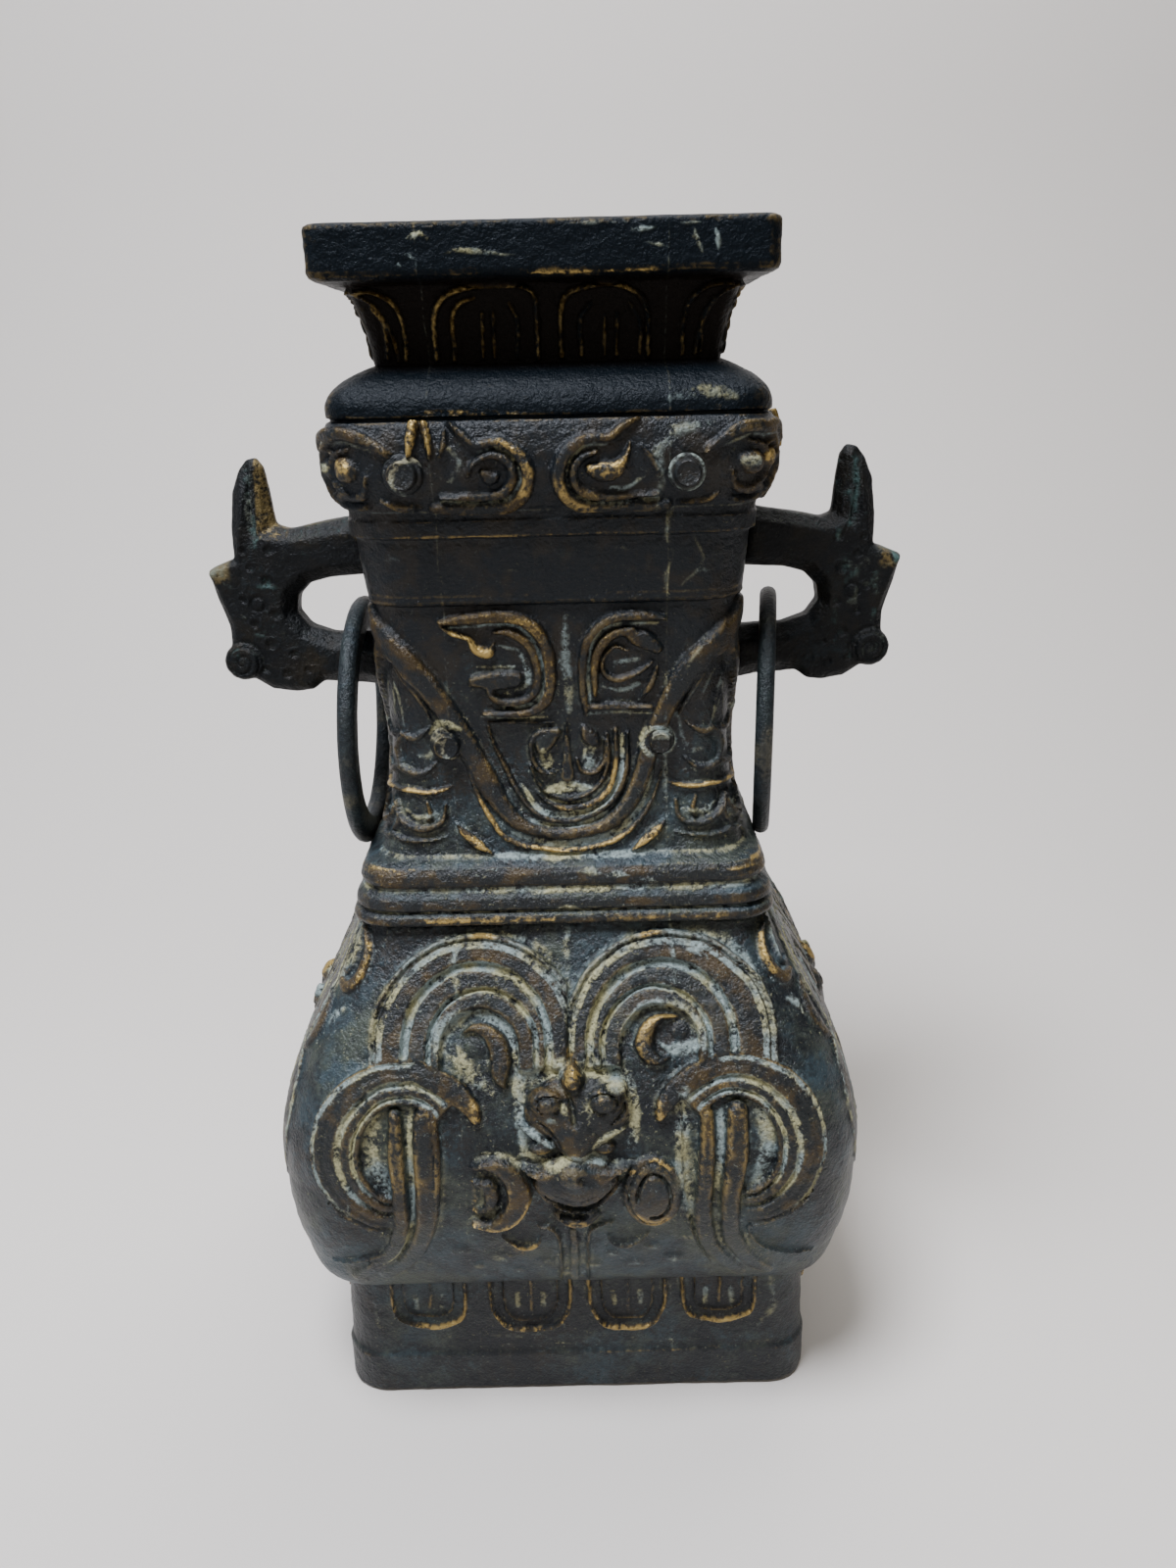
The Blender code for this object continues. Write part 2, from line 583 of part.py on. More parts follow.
def make_handle(side, name):
    pts = handle_outline()
    n = len(pts)
    flat = [Vector((x, z)) for x, z, _, _ in pts]
    turn = sum(flat[i].x * flat[(i + 1) % n].y - flat[(i + 1) % n].x * flat[i].y for i in range(n))
    inner = []
    for i in range(n):
        before = (flat[i] - flat[i - 1]).normalized()
        after = (flat[(i + 1) % n] - flat[i]).normalized()
        mid = (before + after).normalized()
        normal = Vector((-mid.y, mid.x)) * (1 if turn > 0 else -1)
        spread = max(mid.dot(after), 0.75)
        inner.append(flat[i] + normal * (pts[i][2] / spread))
    rings = []
    for y_sign, use_inner in ((1, True), (1, False), (-1, False), (-1, True)):
        ring = []
        for i in range(n):
            p = inner[i] if use_inner else flat[i]
            y = HANDLE_HALF if use_inner else pts[i][3]
            if use_inner and p.y > 0.299:
                y = HANDLE_HALF - 0.0022 * min((p.y - 0.299) / 0.012, 1.0)
            ring.append(Vector((side * p.x, y_sign * y, p.y + HANDLE_UP)))
        rings.append(ring)
    bm = bmesh.new()
    skin_rings(bm, rings)
    mat = make_material("bronze_black_" + name, (0.045, 0.045, 0.045), 0.5)
    handle = to_object(bm, name, PARTS, mat)
    # cheek curl: a round disc that stands proud of the head on both faces
    bm = bmesh.new()
    rings = []
    for y, r in ((-HANDLE_HALF - 0.0012, CHEEK_R - 0.0012), (-HANDLE_HALF + 0.0006, CHEEK_R),
                 (HANDLE_HALF - 0.0006, CHEEK_R), (HANDLE_HALF + 0.0012, CHEEK_R - 0.0012)):
        rings.append([Vector((side * (CHEEK_X + r * cos(2 * pi * k / 12 + 0.1)), y,
                              CHEEK_Z + HANDLE_UP + r * sin(2 * pi * k / 12 + 0.1))) for k in range(12)])
    skin_rings(bm, rings)
    disc = to_object(bm, "cheek_" + name, CUTTERS)
    boolean(handle, disc, 'UNION')
    return handle


# Loose rings
RING_THICK = 0.0105       # from inner to outer edge
RING_LOW = BELLY_TOP + 0.0121     # each ring hangs down beside the ridges
RING_OUT = 0.5 * (LOWER_TOP + HANDLE_UP + 3 * GAP + RING_THICK - RING_LOW)     # outer radius
RING_WIDE = 0.0056        # along the arm
RING_X = {-1: 0.0664, 1: 0.0704}  # where each ring hangs on its lower arm
RING_TURN = {-1: 0.2, 1: 8.5}     # how far each ring is turned on its arm, in degrees
RING_LEAN = {-1: 1.8, 1: -0.4}    # how far the low side of each ring leans out, in degrees
ARM_MID_Z = 0.5 * (LOWER_LOW + LOWER_TOP)
RING_DROP = RING_OUT - RING_THICK - (LOWER_TOP + 3 * GAP - ARM_MID_Z)


def make_ring(side, name):
    """Eight-sided bar bent to a ring; its origin is the middle of the arm, about which it swings."""
    steps = 20
    mid_r = RING_OUT - RING_THICK / 2
    hx, hr, c = RING_WIDE / 2, RING_THICK / 2, 0.0022
    bar = [(hx, -hr + c), (hx, hr - c), (hx - c, hr), (-hx + c, hr),
           (-hx, hr - c), (-hx, -hr + c), (-hx + c, -hr), (hx - c, -hr)]
    turn = radians(RING_TURN[side]) * (-side)
    lean = radians(RING_LEAN[side]) * side
    bm = bmesh.new()
    rows = []
    for k in range(steps):
        t = 2 * pi * k / steps
        row = []
        for w, r in bar:
            y = (mid_r + r) * sin(t)
            z = (mid_r + r) * cos(t) - RING_DROP
            x, y = w * cos(turn) - y * sin(turn), w * sin(turn) + y * cos(turn)
            row.append(bm.verts.new((x * cos(lean) - z * sin(lean), y, x * sin(lean) + z * cos(lean))))
        rows.append(row)
    for k in range(steps):
        a, b = rows[k], rows[(k + 1) % steps]
        for j in range(8):
            bm.faces.new((a[j], a[(j + 1) % 8], b[(j + 1) % 8], b[j]))
    mat = make_material("bronze_grey_" + name, (0.09, 0.10, 0.11), 0.4)
    ring = to_object(bm, name, PARTS, mat)
    ring.location = (side * RING_X[side], 0, ARM_MID_Z + HANDLE_UP)
    return ring


make_body()
make_handle(-1, "handle_left")
make_handle(1, "handle_right")
make_ring(-1, "ring_left")
make_ring(1, "ring_right")
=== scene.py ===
# A square bronze hu with dragon handles and loose rings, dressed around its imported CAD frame.
import functools
import math

import bpy
import numpy as np
from mathutils import Matrix, Vector


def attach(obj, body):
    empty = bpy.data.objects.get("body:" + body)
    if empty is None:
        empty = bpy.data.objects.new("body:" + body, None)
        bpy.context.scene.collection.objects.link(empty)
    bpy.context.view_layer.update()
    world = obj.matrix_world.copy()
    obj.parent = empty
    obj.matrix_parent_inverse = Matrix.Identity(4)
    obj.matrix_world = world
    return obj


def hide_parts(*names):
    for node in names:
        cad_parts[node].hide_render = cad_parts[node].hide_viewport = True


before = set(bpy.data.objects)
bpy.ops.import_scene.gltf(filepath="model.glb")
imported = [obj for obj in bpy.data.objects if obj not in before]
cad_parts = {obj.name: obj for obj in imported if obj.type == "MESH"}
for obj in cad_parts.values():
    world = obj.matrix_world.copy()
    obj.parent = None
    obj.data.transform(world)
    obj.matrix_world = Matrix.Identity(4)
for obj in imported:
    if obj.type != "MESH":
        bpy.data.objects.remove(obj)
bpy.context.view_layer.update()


# Camera, floor and studio light.
# A phone held a little above the mouth looks down at the vessel, which stands on a plain pale sweep.
# One broad soft light hangs overhead, with weaker cool and warm fills.
CAMERA_AT = (0.0094, -0.3924, 0.3419)
CAMERA_PITCH = math.radians(19.42)      # looking down
CAMERA_YAW = math.radians(-0.11)
CAMERA_ROLL = math.radians(-1.39)
LENS_MM, SENSOR_MM = 27.0, 36.0         # 1200 pixels of focal length on a 1600 pixel side
NEAREST_SEEN = 0.01
FLOOR_FRONT, FLOOR_BACK, FLOOR_HALF = -1.6, 0.75, 2.4
SWEEP_RADIUS, SWEEP_TOP, SWEEP_STEPS = 0.55, 2.2, 24
AIR_STRENGTH = 0.08
# name, place, what it looks at, disc size, watts, colour
LAMPS = (("overhead_soft", (-0.25, -0.35, 1.25), (0.0, 0.0, 0.2), 0.5, 34.0, "#f3f6ff"),
         ("front_fill", (0.4, -1.2, 0.8), (0.0, 0.0, 0.12), 0.9, 3.4, "#fff3e2"),
         ("left_fill", (-1.2, -0.3, 0.6), (0.0, 0.0, 0.2), 0.7, 3.0, "#e8f0ff"),
         ("back_soft", (0.3, 0.5, 1.4), (0.0, 0.0, 0.2), 0.9, 9.0, "#ffffff"))


def to_linear(hex_colour):
    """An sRGB hex colour as the linear values that the shader takes."""
    out = []
    for k in (1, 3, 5):
        v = int(hex_colour[k:k + 2], 16) / 255
        out.append(v / 12.92 if v <= 0.04045 else ((v + 0.055) / 1.055) ** 2.4)
    return (*out, 1.0)


def add_node(tree, kind, inputs=None, settings=None, out=0):
    """Adds one node with its options; each input takes a value or the output it is linked to."""
    node = tree.nodes.new(kind)
    for name, value in (settings or {}).items():
        setattr(node, name, value)
    for name, value in (inputs or {}).items():
        if isinstance(value, bpy.types.NodeSocket):
            tree.links.new(value, node.inputs[name])
        else:
            node.inputs[name].default_value = value
    return node.outputs[out]


def new_material(name):
    """A plain node material and its shader."""
    mat = bpy.data.materials.new(name)
    mat.use_nodes = True
    return mat, mat.node_tree.nodes["Principled BSDF"]


def new_object(name, data):
    """A new object, put in the scene."""
    made = bpy.data.objects.new(name, data)
    bpy.context.scene.collection.objects.link(made)
    return made


def shade_smooth(mesh, crisp=None):
    """Soft shading; edges that bend by more than the crisp angle, in degrees, stay sharp."""
    mesh.polygons.foreach_set("use_smooth", [True] * len(mesh.polygons))
    if crisp:
        mesh.set_sharp_from_angle(angle=math.radians(crisp))


camera_data = bpy.data.cameras.new("phone_camera")
camera_data.lens = LENS_MM
camera_data.sensor_width = SENSOR_MM
camera_data.clip_start = NEAREST_SEEN
camera = new_object("phone_camera", camera_data)
ahead = Vector((math.sin(CAMERA_YAW) * math.cos(CAMERA_PITCH),
                math.cos(CAMERA_YAW) * math.cos(CAMERA_PITCH), -math.sin(CAMERA_PITCH)))
level = Vector((math.cos(CAMERA_YAW), -math.sin(CAMERA_YAW), 0.0))
upward = level.cross(ahead)
right = level * math.cos(CAMERA_ROLL) + upward * math.sin(CAMERA_ROLL)
top = upward * math.cos(CAMERA_ROLL) - level * math.sin(CAMERA_ROLL)
turn = Matrix((right, top, -ahead)).transposed()
camera.matrix_world = Matrix.Translation(CAMERA_AT) @ turn.to_4x4()
bpy.context.scene.camera = camera

sweep_line = [(FLOOR_FRONT, 0.0), (FLOOR_BACK - SWEEP_RADIUS, 0.0)]
for k in range(1, SWEEP_STEPS + 1):
    angle = math.pi / 2 * k / SWEEP_STEPS
    sweep_line.append((FLOOR_BACK - SWEEP_RADIUS + SWEEP_RADIUS * math.sin(angle),
                       SWEEP_RADIUS - SWEEP_RADIUS * math.cos(angle)))
sweep_line.append((FLOOR_BACK, SWEEP_TOP))
sweep_points = [(x, y, z) for y, z in sweep_line for x in (-FLOOR_HALF, FLOOR_HALF)]
sweep_faces = [(2 * k, 2 * k + 1, 2 * k + 3, 2 * k + 2) for k in range(len(sweep_line) - 1)]
sweep_mesh = bpy.data.meshes.new("floor_sweep")
sweep_mesh.from_pydata(sweep_points, [], sweep_faces)
shade_smooth(sweep_mesh)
# matt painted board, so it gives no glare under the vessel
board, shader = new_material("painted_board")
shader.inputs["Base Color"].default_value = to_linear("#cfcac4")
shader.inputs["Roughness"].default_value = 0.9
sweep_mesh.materials.append(board)
sweep = new_object("floor_sweep", sweep_mesh)

world = bpy.data.worlds.new("studio_air")
bpy.context.scene.world = world
world.use_nodes = True
world.node_tree.nodes["Background"].inputs["Color"].default_value = to_linear("#d9dde2")
world.node_tree.nodes["Background"].inputs["Strength"].default_value = AIR_STRENGTH

for name, place, looks_at, size, watts, colour in LAMPS:
    lamp_data = bpy.data.lights.new(name, "AREA")
    lamp_data.shape = "DISK"
    lamp_data.size = size
    lamp_data.energy = watts
    lamp_data.color = to_linear(colour)[:3]
    lamp = new_object(name, lamp_data)
    lamp.location = place
    lamp.rotation_euler = (Vector(looks_at) - Vector(place)).to_track_quat("-Z", "Y").to_euler()


# Bronze wall of the vessel: leaded tin bronze cast in one pour in a piece mould, so four upright
# mould seams run over it. All sizes here are in millimetres. The outline below is the same wall as
# the solid, with its steps and ridges drawn finer.
DEPTH_LESS = 13.0        # the side walls stand this much further out than the front and back walls
FLOOR_TOP = 54.8         # floor inside the vessel
LIP_FROM = 379.0         # above this the wall turns over the rim
SEAM_A = 33.6            # each mould seam from the middle of the front or back
SIDE_SHARE = 0.45        # the belly's carving on the narrow sides is this much as high as on the front
CRISP = 62               # edges of the carving that bend by more degrees stay sharp
UNEVEN = ((9.0, 0.18), (3.4, 0.14), (1.6, 0.09))    # width and height of the waves in the cast skin
PIT_DEEP, LUMP_HIGH = 1.2, 1.3
SEAM_HIGH, SEAM_HALF = 0.12, 0.55
JOIN = 0.8               # the carving fades out over this height where two stretches meet
ROUND_ABOUT = 1.9        # a place is sunk or raised against the mean of the wall this far round it
# corner radius at each height, over the whole vessel
CORNERS = np.array([(0, 13.5), (49, 14), (64, 25), (94, 28), (140, 23), (174.5, 14), (235, 12), (295.7, 15),
                    (321, 18), (344.1, 5), (366.2, 4.5), (380, 4.5)])
# the room inside, which gives the thickness of the wall: height, half width, corner radius
ROOM = np.array([(54.8, 74.7, 15.2), (57, 81.6, 17.4), (60.8, 85.3, 19.6), (68, 89.2, 21.6), (78, 91.8, 23.3),
                 (94, 93.9, 24.9), (106, 92.6, 23.6), (118, 89.5, 22.3), (136, 81.4, 20.3), (154, 71, 16.3),
                 (171.5, 62.4, 11.7), (174.9, 62, 11.4), (180.5, 61.2, 10.7), (188, 58.4, 10.4), (196.5, 54.3, 10.2),
                 (215, 51.6, 9.4), (235, 50.6, 8.9), (255, 51.2, 9.8), (276, 52.5, 10.9), (290, 54.9, 12),
                 (305, 57.8, 13), (321, 62.2, 14.9), (326, 61, 13.4), (329.3, 58.3, 11.4), (331.3, 56.6, 9),
                 (335, 50.2, 6.6), (338.8, 44.8, 5), (343.8, 46.5, 4), (355, 48, 4), (366.2, 49.2, 4),
                 (378.6, 49.4, 4), (379.6, 49.9, 4)])
FOOT_ROOM = np.array([(0, 77.2, 9), (20, 77, 9), (43, 76.7, 9), (47, 72.8, 7.4), (49, 70.7, 6)])
LIP = [(380.0, 60.0, 4.2), (380.0, 55.0, 4.1), (380.0, 51.4, 4.0), (379.9, 50.6, 4.0)]
# how much grey-green film lies on the ground at each height; below zero it is bare, and below -1 it turns
# brown-black; the lower it runs, the less the skin shines, which paints the shade from the shoulder to the flange
FILM_AND_SHADE_TABLE = np.array([(0, 0.35), (20, 0.35), (34, 0.2), (49, 0.4), (56, 0.85), (90, 0.6), (120, 0.4), (160, 0.5),
                 (176, 0.4), (196, 0.45), (230, 0.25), (262, 0), (276, -0.25), (300, -0.3), (322, -0.1),
                 (328, -0.4), (331, -1), (340, -1), (344, -2), (364, -2), (366, -1.1), (380, -1)])
INSIDE_LOOK = {"recess": 0.25, "rubbed_and_highlight": 0.0, "brown": 0.15, "pale": 0.1, "film_and_shading": 0.3}


def ease(t):
    """0 to 1 with soft ends."""
    t = np.clip(t, 0.0, 1.0)
    return t * t * (3 - 2 * t)


def wall_outline():
    """Heights and half widths of the outside, from the ground up."""
    rows = [(0.0, 80.5), (1.2, 81.5), (15.4, 81.6), (16.3, 81.3), (16.9, 80.8), (47.6, 80.0), (49.0, 80.2)]
    # round underside of the belly, and its long soft shoulder
    for k in range(1, 41):
        t = math.radians(90 * k / 40)
        rows.append((49.0 + 45.0 * (1 - math.cos(t)), 80.8 + 15.2 * math.sin(t)))
    for k in range(1, 61):
        t = k / 60
        fall = 0.30 * t ** 2 + 0.70 * float(ease(t)) * t ** 0.60
        rows.append((94.0 + 80.5 * t, 96.0 - 30.5 * fall))
    # three ridges with a pale groove between the upper two
    rows += [(175.2, 65.2), (176.0, 67.4), (176.6, 68.3), (177.8, 68.4), (179.2, 67.9), (179.9, 66.9),
             (180.3, 66.3), (180.8, 66.9), (181.5, 67.5), (183.2, 67.3), (184.7, 66.8), (185.5, 66.2),
             (186.0, 65.6), (187.3, 64.7), (188.1, 64.9), (188.7, 65.6), (190.2, 65.8), (192.3, 65.2),
             (194.2, 64.0), (195.0, 62.6), (195.7, 60.4), (196.6, 59.0)]
    # neck up to its waist, then the plain band and the convex band
    for k in range(1, 25):
        t = k / 24
        rows.append((196.6 + 38.4 * t, 53.7 + 5.2 * (1 - t) ** 1.9))
    rows += [(275.0, 55.7), (275.9, 56.0), (276.7, 57.2), (277.5, 57.6), (278.5, 57.5), (295.6, 59.2),
             (296.3, 59.6), (296.9, 60.7), (301.4, 61.2), (302.1, 60.8), (304.3, 61.0), (305.2, 61.7),
             (309.6, 64.1), (315.0, 65.5), (321.0, 65.8), (325.4, 65.4), (328.0, 64.7), (329.0, 64.1),
             (329.5, 63.0), (330.0, 63.0), (330.5, 63.9)]
    # shoulder, flared mouth and flange
    for k in range(1, 15):
        t = k / 14
        rows.append((330.5 + 13.6 * t, 49.7 + 14.2 * (1 - t ** 2.6)))
    for k in range(1, 11):
        t = k / 10
        rows.append((344.1 + 20.5 * t, 49.7 + 5.5 * t ** 1.6))
    rows += [(365.3, 58.6), (365.8, 62.2), (366.6, 63.6), (367.8, 64.1), (378.4, 64.2), (379.4, 63.9),
             (380.0, 63.0)]
    return np.array(rows)


OUTLINE = wall_outline()


def wall_half(z):
    """Half width of the outside at a height."""
    return np.interp(z, OUTLINE[:, 0], OUTLINE[:, 1])


def wall_corner(z):
    """Corner radius of the outside at a height."""
    return np.interp(z, CORNERS[:, 0], CORNERS[:, 1])


def face_half(face, half):
    """Half width of one face: 0 front, 1 right, 2 back, 3 left."""
    return half if face in (0, 2) else half - DEPTH_LESS


def corner_reach(face, half, radius):
    """Distance along the wall from the middle of a face to the middle of its corner."""
    return face_half(face, half) - radius + radius * math.pi / 4


def level_points(face, a, half, radius, z):
    """Places on one face of a level; a runs along the wall from the middle of the face."""
    wide = face_half(face, half)
    deep = 2 * half - DEPTH_LESS - wide
    flat = wide - radius
    m = np.abs(a)
    t = np.clip((m - flat) / radius, 0.0, math.pi / 2)
    x = np.where(m <= flat, m, flat + radius * np.sin(t)) * np.sign(a)
    y = np.where(m <= flat, -deep, -(deep - radius) - radius * np.cos(t))
    for _ in range(face):
        x, y = -y, x
    return np.stack([x, y, z + 0 * a], -1)


def lattice_noise(points, size, seed):
    """Smooth random values from -1 to 1 in space; size is the distance over which they change, in mm.
    The large whole numbers only scramble the corners of the lattice."""
    q = points / size + seed * 17.31
    cell = np.floor(q).astype(np.int64)
    f = q - cell
    f = f * f * (3 - 2 * f)
    total = np.zeros(points.shape[:-1])
    for dx in (0, 1):
        for dy in (0, 1):
            for dz in (0, 1):
                h = ((cell[..., 0] + dx) * 73856093) ^ ((cell[..., 1] + dy) * 19349663) \
                    ^ ((cell[..., 2] + dz) * 83492791) ^ (seed * 2654435761)
                h = (h ^ (h >> 13)) * 1274126177 & 0x7FFFFFFF
                value = ((h ^ (h >> 16)) & 0xFFFF) / 32767.5 - 1
                wx = f[..., 0] if dx else 1 - f[..., 0]
                wy = f[..., 1] if dy else 1 - f[..., 1]
                wz = f[..., 2] if dz else 1 - f[..., 2]
                total += value * wx * wy * wz
    return total


def smooth_path(points, per=7):
    """A soft curve through points (a, z, half width), in short straight steps."""
    p = np.array(points, float)
    if len(p) < 3:
        return p
    ends = np.vstack([2 * p[0] - p[1], p, 2 * p[-1] - p[-2]])
    out = []
    for k in range(1, len(ends) - 2):
        p0, p1, p2, p3 = ends[k - 1:k + 3]
        for t in np.arange(per) / per:
            out.append(0.5 * (2 * p1 + (p2 - p0) * t + (2 * p0 - 5 * p1 + 4 * p2 - p3) * t ** 2
                              + (3 * p1 - p0 - 3 * p2 + p3) * t ** 3))
    out.append(p[-1])
    out = np.array(out)
    out[:, 2] = np.maximum(out[:, 2], 0.05)
    return out


class Carving:
    """The work over one stretch of wall. A place is a, along the wall from the middle of the face, and z,
    the height; a path is points (a, z, half width). The carving holds how high each place stands, how
    brown its metal is, how much pale crust lies there, with a painted highlight in a few places, and how
    much bright metal shows, from wear and in a few places as a painted highlight."""

    def __init__(self, a, z):
        self.a, self.z = a, z
        self.high, self.brown, self.pale, self.wear_and_highlight = (np.zeros(a.shape) for _ in range(4))

    def inside(self, points, curved=True):
        """Where a path with tapered width lies, and how far inside its edge each place is."""
        line = smooth_path(points) if curved else np.array(points, float)
        reach = line[:, 2].max() + 0.3
        where = np.nonzero((self.a > line[:, 0].min() - reach) & (self.a < line[:, 0].max() + reach)
                           & (self.z > line[:, 1].min() - reach) & (self.z < line[:, 1].max() + reach))
        a, z = self.a[where], self.z[where]
        best = np.full(a.shape, -9.0)
        for (a0, z0, w0), (a1, z1, w1) in zip(line, line[1:]):
            da, dz = a1 - a0, z1 - z0
            t = np.clip(((a - a0) * da + (z - z0) * dz) / max(da * da + dz * dz, 1e-9), 0, 1)
            best = np.maximum(best, w0 + (w1 - w0) * t - np.hypot(a - a0 - da * t, z - z0 - dz * t))
        return where, best

    def rub_and_highlight(self, points, amount, edge=1.6):
        """Bright metal along a path: wear, and along the crease of the foot a painted highlight."""
        where, depth = self.inside(points)
        self.wear_and_highlight[where] = np.maximum(self.wear_and_highlight[where], amount * ease(depth / edge))

    def lay_crust_and_highlight(self, points, amount, edge=3.0, curved=True):
        """Pale crust along a path, with a soft edge; on the cheeks of the mask it paints a highlight."""
        where, depth = self.inside(points, curved)
        self.pale[where] = np.maximum(self.pale[where], amount * ease(depth / edge))

    def lay(self, where, share, high, brown):
        """Covers what is there by a share from 0 to 1."""
        self.high[where] += (high - self.high[where]) * share
        self.brown[where] += (brown - self.brown[where]) * share
        self.pale[where] *= 1 - share
        self.wear_and_highlight[where] *= 1 - share

    def band(self, points, high, brown=0.5, edge=0.9, lines=(), curved=True, crown=0.0, falls=None):
        """A raised band with soft edges, higher by the crown in its middle; lines are cut along it at
        distances from its edge. With falls (low, full, share) it sinks to a share of its rise."""
        where, depth = self.inside(points, curved)
        top = high + crown * np.clip(depth / max(p[2] for p in points), 0, 1)
        for at in lines:
            top = top - 0.45 * np.clip(1 - np.abs(depth - at) / 0.6, 0, 1)
        if falls:
            low, full, share = falls
            above = ease((self.z[where] - low) / (full - low))
            top = top * (share + (1 - share) * above)
            brown = brown * (0.3 + 0.7 * above)
        self.lay(where, ease(depth / edge), top, brown)

    def cut(self, points, deep, curved=True):
        """A groove: its half widths run along the path."""
        where, depth = self.inside(points, curved)
        self.high[where] -= deep * ease(depth / 0.6)

    def groove(self, points, deep, pale):
        """A groove with pale crust along its bottom."""
        self.cut(points, deep)
        self.lay_crust_and_highlight([(a, z, w + 0.25) for a, z, w in points], pale, edge=0.7)

    def knob(self, a, z, ra, rz, high, brown, base=0.0, power=0.5):
        """An oval dome, or with a negative height an oval hollow."""
        where = np.nonzero((np.abs(self.a - a) < ra) & (np.abs(self.z - z) < rz))
        f = ((self.a[where] - a) / ra) ** 2 + ((self.z[where] - z) / rz) ** 2
        dome = np.clip(1 - f, 0, 1) ** power
        if high < 0:
            self.high[where] += high * dome
        else:
            self.high[where] = np.maximum(self.high[where], base * (f < 1) + high * dome)
        self.brown[where] += (brown - self.brown[where]) * ease(dome * 3)


def oval(ca, cz, ra, rz, start, end, half, steps=20):
    """Points round part of an oval, by angle in degrees from level, with one half width."""
    angles = [math.radians(start + (end - start) * k / steps) for k in range(steps + 1)]
    return [(ca + ra * math.cos(t), cz + rz * math.sin(t), half) for t in angles]


def flip(points, side, shift=0.0):
    """The same path on the left (-1) or right (1) of the middle."""
    return [(side * a + shift, z, w) for a, z, w in points]


def moved(points, along, share=1.0):
    """The same path further along the wall, with its half widths taken times a share."""
    return [(along + a, z, w * share) for a, z, w in points]


# What the mould maker cut into each face follows, from the foot up. In all of it c is the carving of one
# face, or of one corner, and the paths are in mm, drawn off the front of the vessel.


def carve_foot(c):
    """Four hanging shields with a thin rim on each long face, dark inside with two pale lobes."""
    for middle, half, low in ((-50.5, 12.6, 28.4), (-15.4, 13.6, 26.2), (18, 13, 25.8), (49.6, 12.4, 28.6)):
        rim = [(-half, 53, 1.1), (-half, 38, 1.1), (-half + 1.6, 32.4, 1.1), (-half * 0.62, low + 1.6, 1.2),
               (-2, low + 0.2, 1.3), (3, low, 1.3), (half * 0.66, low + 1.7, 1.2), (half - 1.2, 32.6, 1.1),
               (half, 38, 1.1), (half, 53, 1.1)]
        c.knob(middle, 43, half - 0.6, 44 - low, -1, 0.2, power=0.25)
        c.band(moved(rim, middle), 1.7, 0.9, edge=1)
        c.rub_and_highlight(moved(rim, middle, 1.2), 0.42)
        c.rub_and_highlight(moved(rim[2:8], middle, 1.5), 0.75)
        inner = [(-half + 4.4, 53, 0.8), (-half + 4.4, 38, 0.8), (-half * 0.45, low + 5.4, 0.9),
                 (0.4, low + 4.4, 1), (half * 0.45, low + 5.4, 0.9), (half - 4.4, 38, 0.8),
                 (half - 4.4, 53, 0.8)]
        c.band(moved(inner, middle), 1, 0.6, edge=0.8)
        c.rub_and_highlight(moved(inner, middle, 0.8), 0.3)
        c.band([(middle + 0.4, 49, 1.1), (middle + 0.4, low + 8, 1.3)], 0.9, 0.5, curved=False)
        c.rub_and_highlight([(middle + 0.4, 49, 0.8), (middle + 0.4, low + 9, 0.8)], 0.4)
        for side in (-1, 1):
            c.cut([(middle + side * 4.6, 42, 1.9), (middle + side * 4.4, 35.6, 1.7)], 0.7, curved=False)
            c.lay_crust_and_highlight([(middle + side * 4.6, 41, 1.5), (middle + side * 4.4, 36, 1.4)], 0.7, curved=False,
                    edge=1)
            c.cut([(middle + side * 1.8, 48.6, 0.8), (middle + side * 5.2, 46.2, 1.6),
                   (middle + side * 8, 49.4, 0.8)], 1.5)
    # a casting crease over the plain foot, a painted highlight of bright metal along it, and crust at its right end
    c.cut([(-76, 17.4, 0.8), (-20, 17, 0.9), (20, 17.4, 1), (52, 18.8, 1), (76, 21.6, 0.8)], 1.5)
    c.rub_and_highlight([(-10, 15.2, 0.5), (34, 16, 0.7), (52, 17, 1), (74, 19.4, 0.8)], 0.45, edge=0.8)
    c.lay_crust_and_highlight([(-66, 19.4, 0.6), (-10, 19.2, 0.9), (30, 19.8, 0.8), (60, 21.4, 0.7)], 0.35, edge=1.2)
    c.lay_crust_and_highlight([(62, 24, 1.4), (69, 34, 2.8), (67, 46, 1.8)], 0.55, edge=2.6)
    c.lay_crust_and_highlight([(-34, 24, 1), (-20, 23, 1.8), (-4, 24, 1.2)], 0.35, edge=1.8)
    c.lay_crust_and_highlight([(-70, 42, 1), (-69, 30, 2), (-66, 22, 1)], 0.4, edge=2)


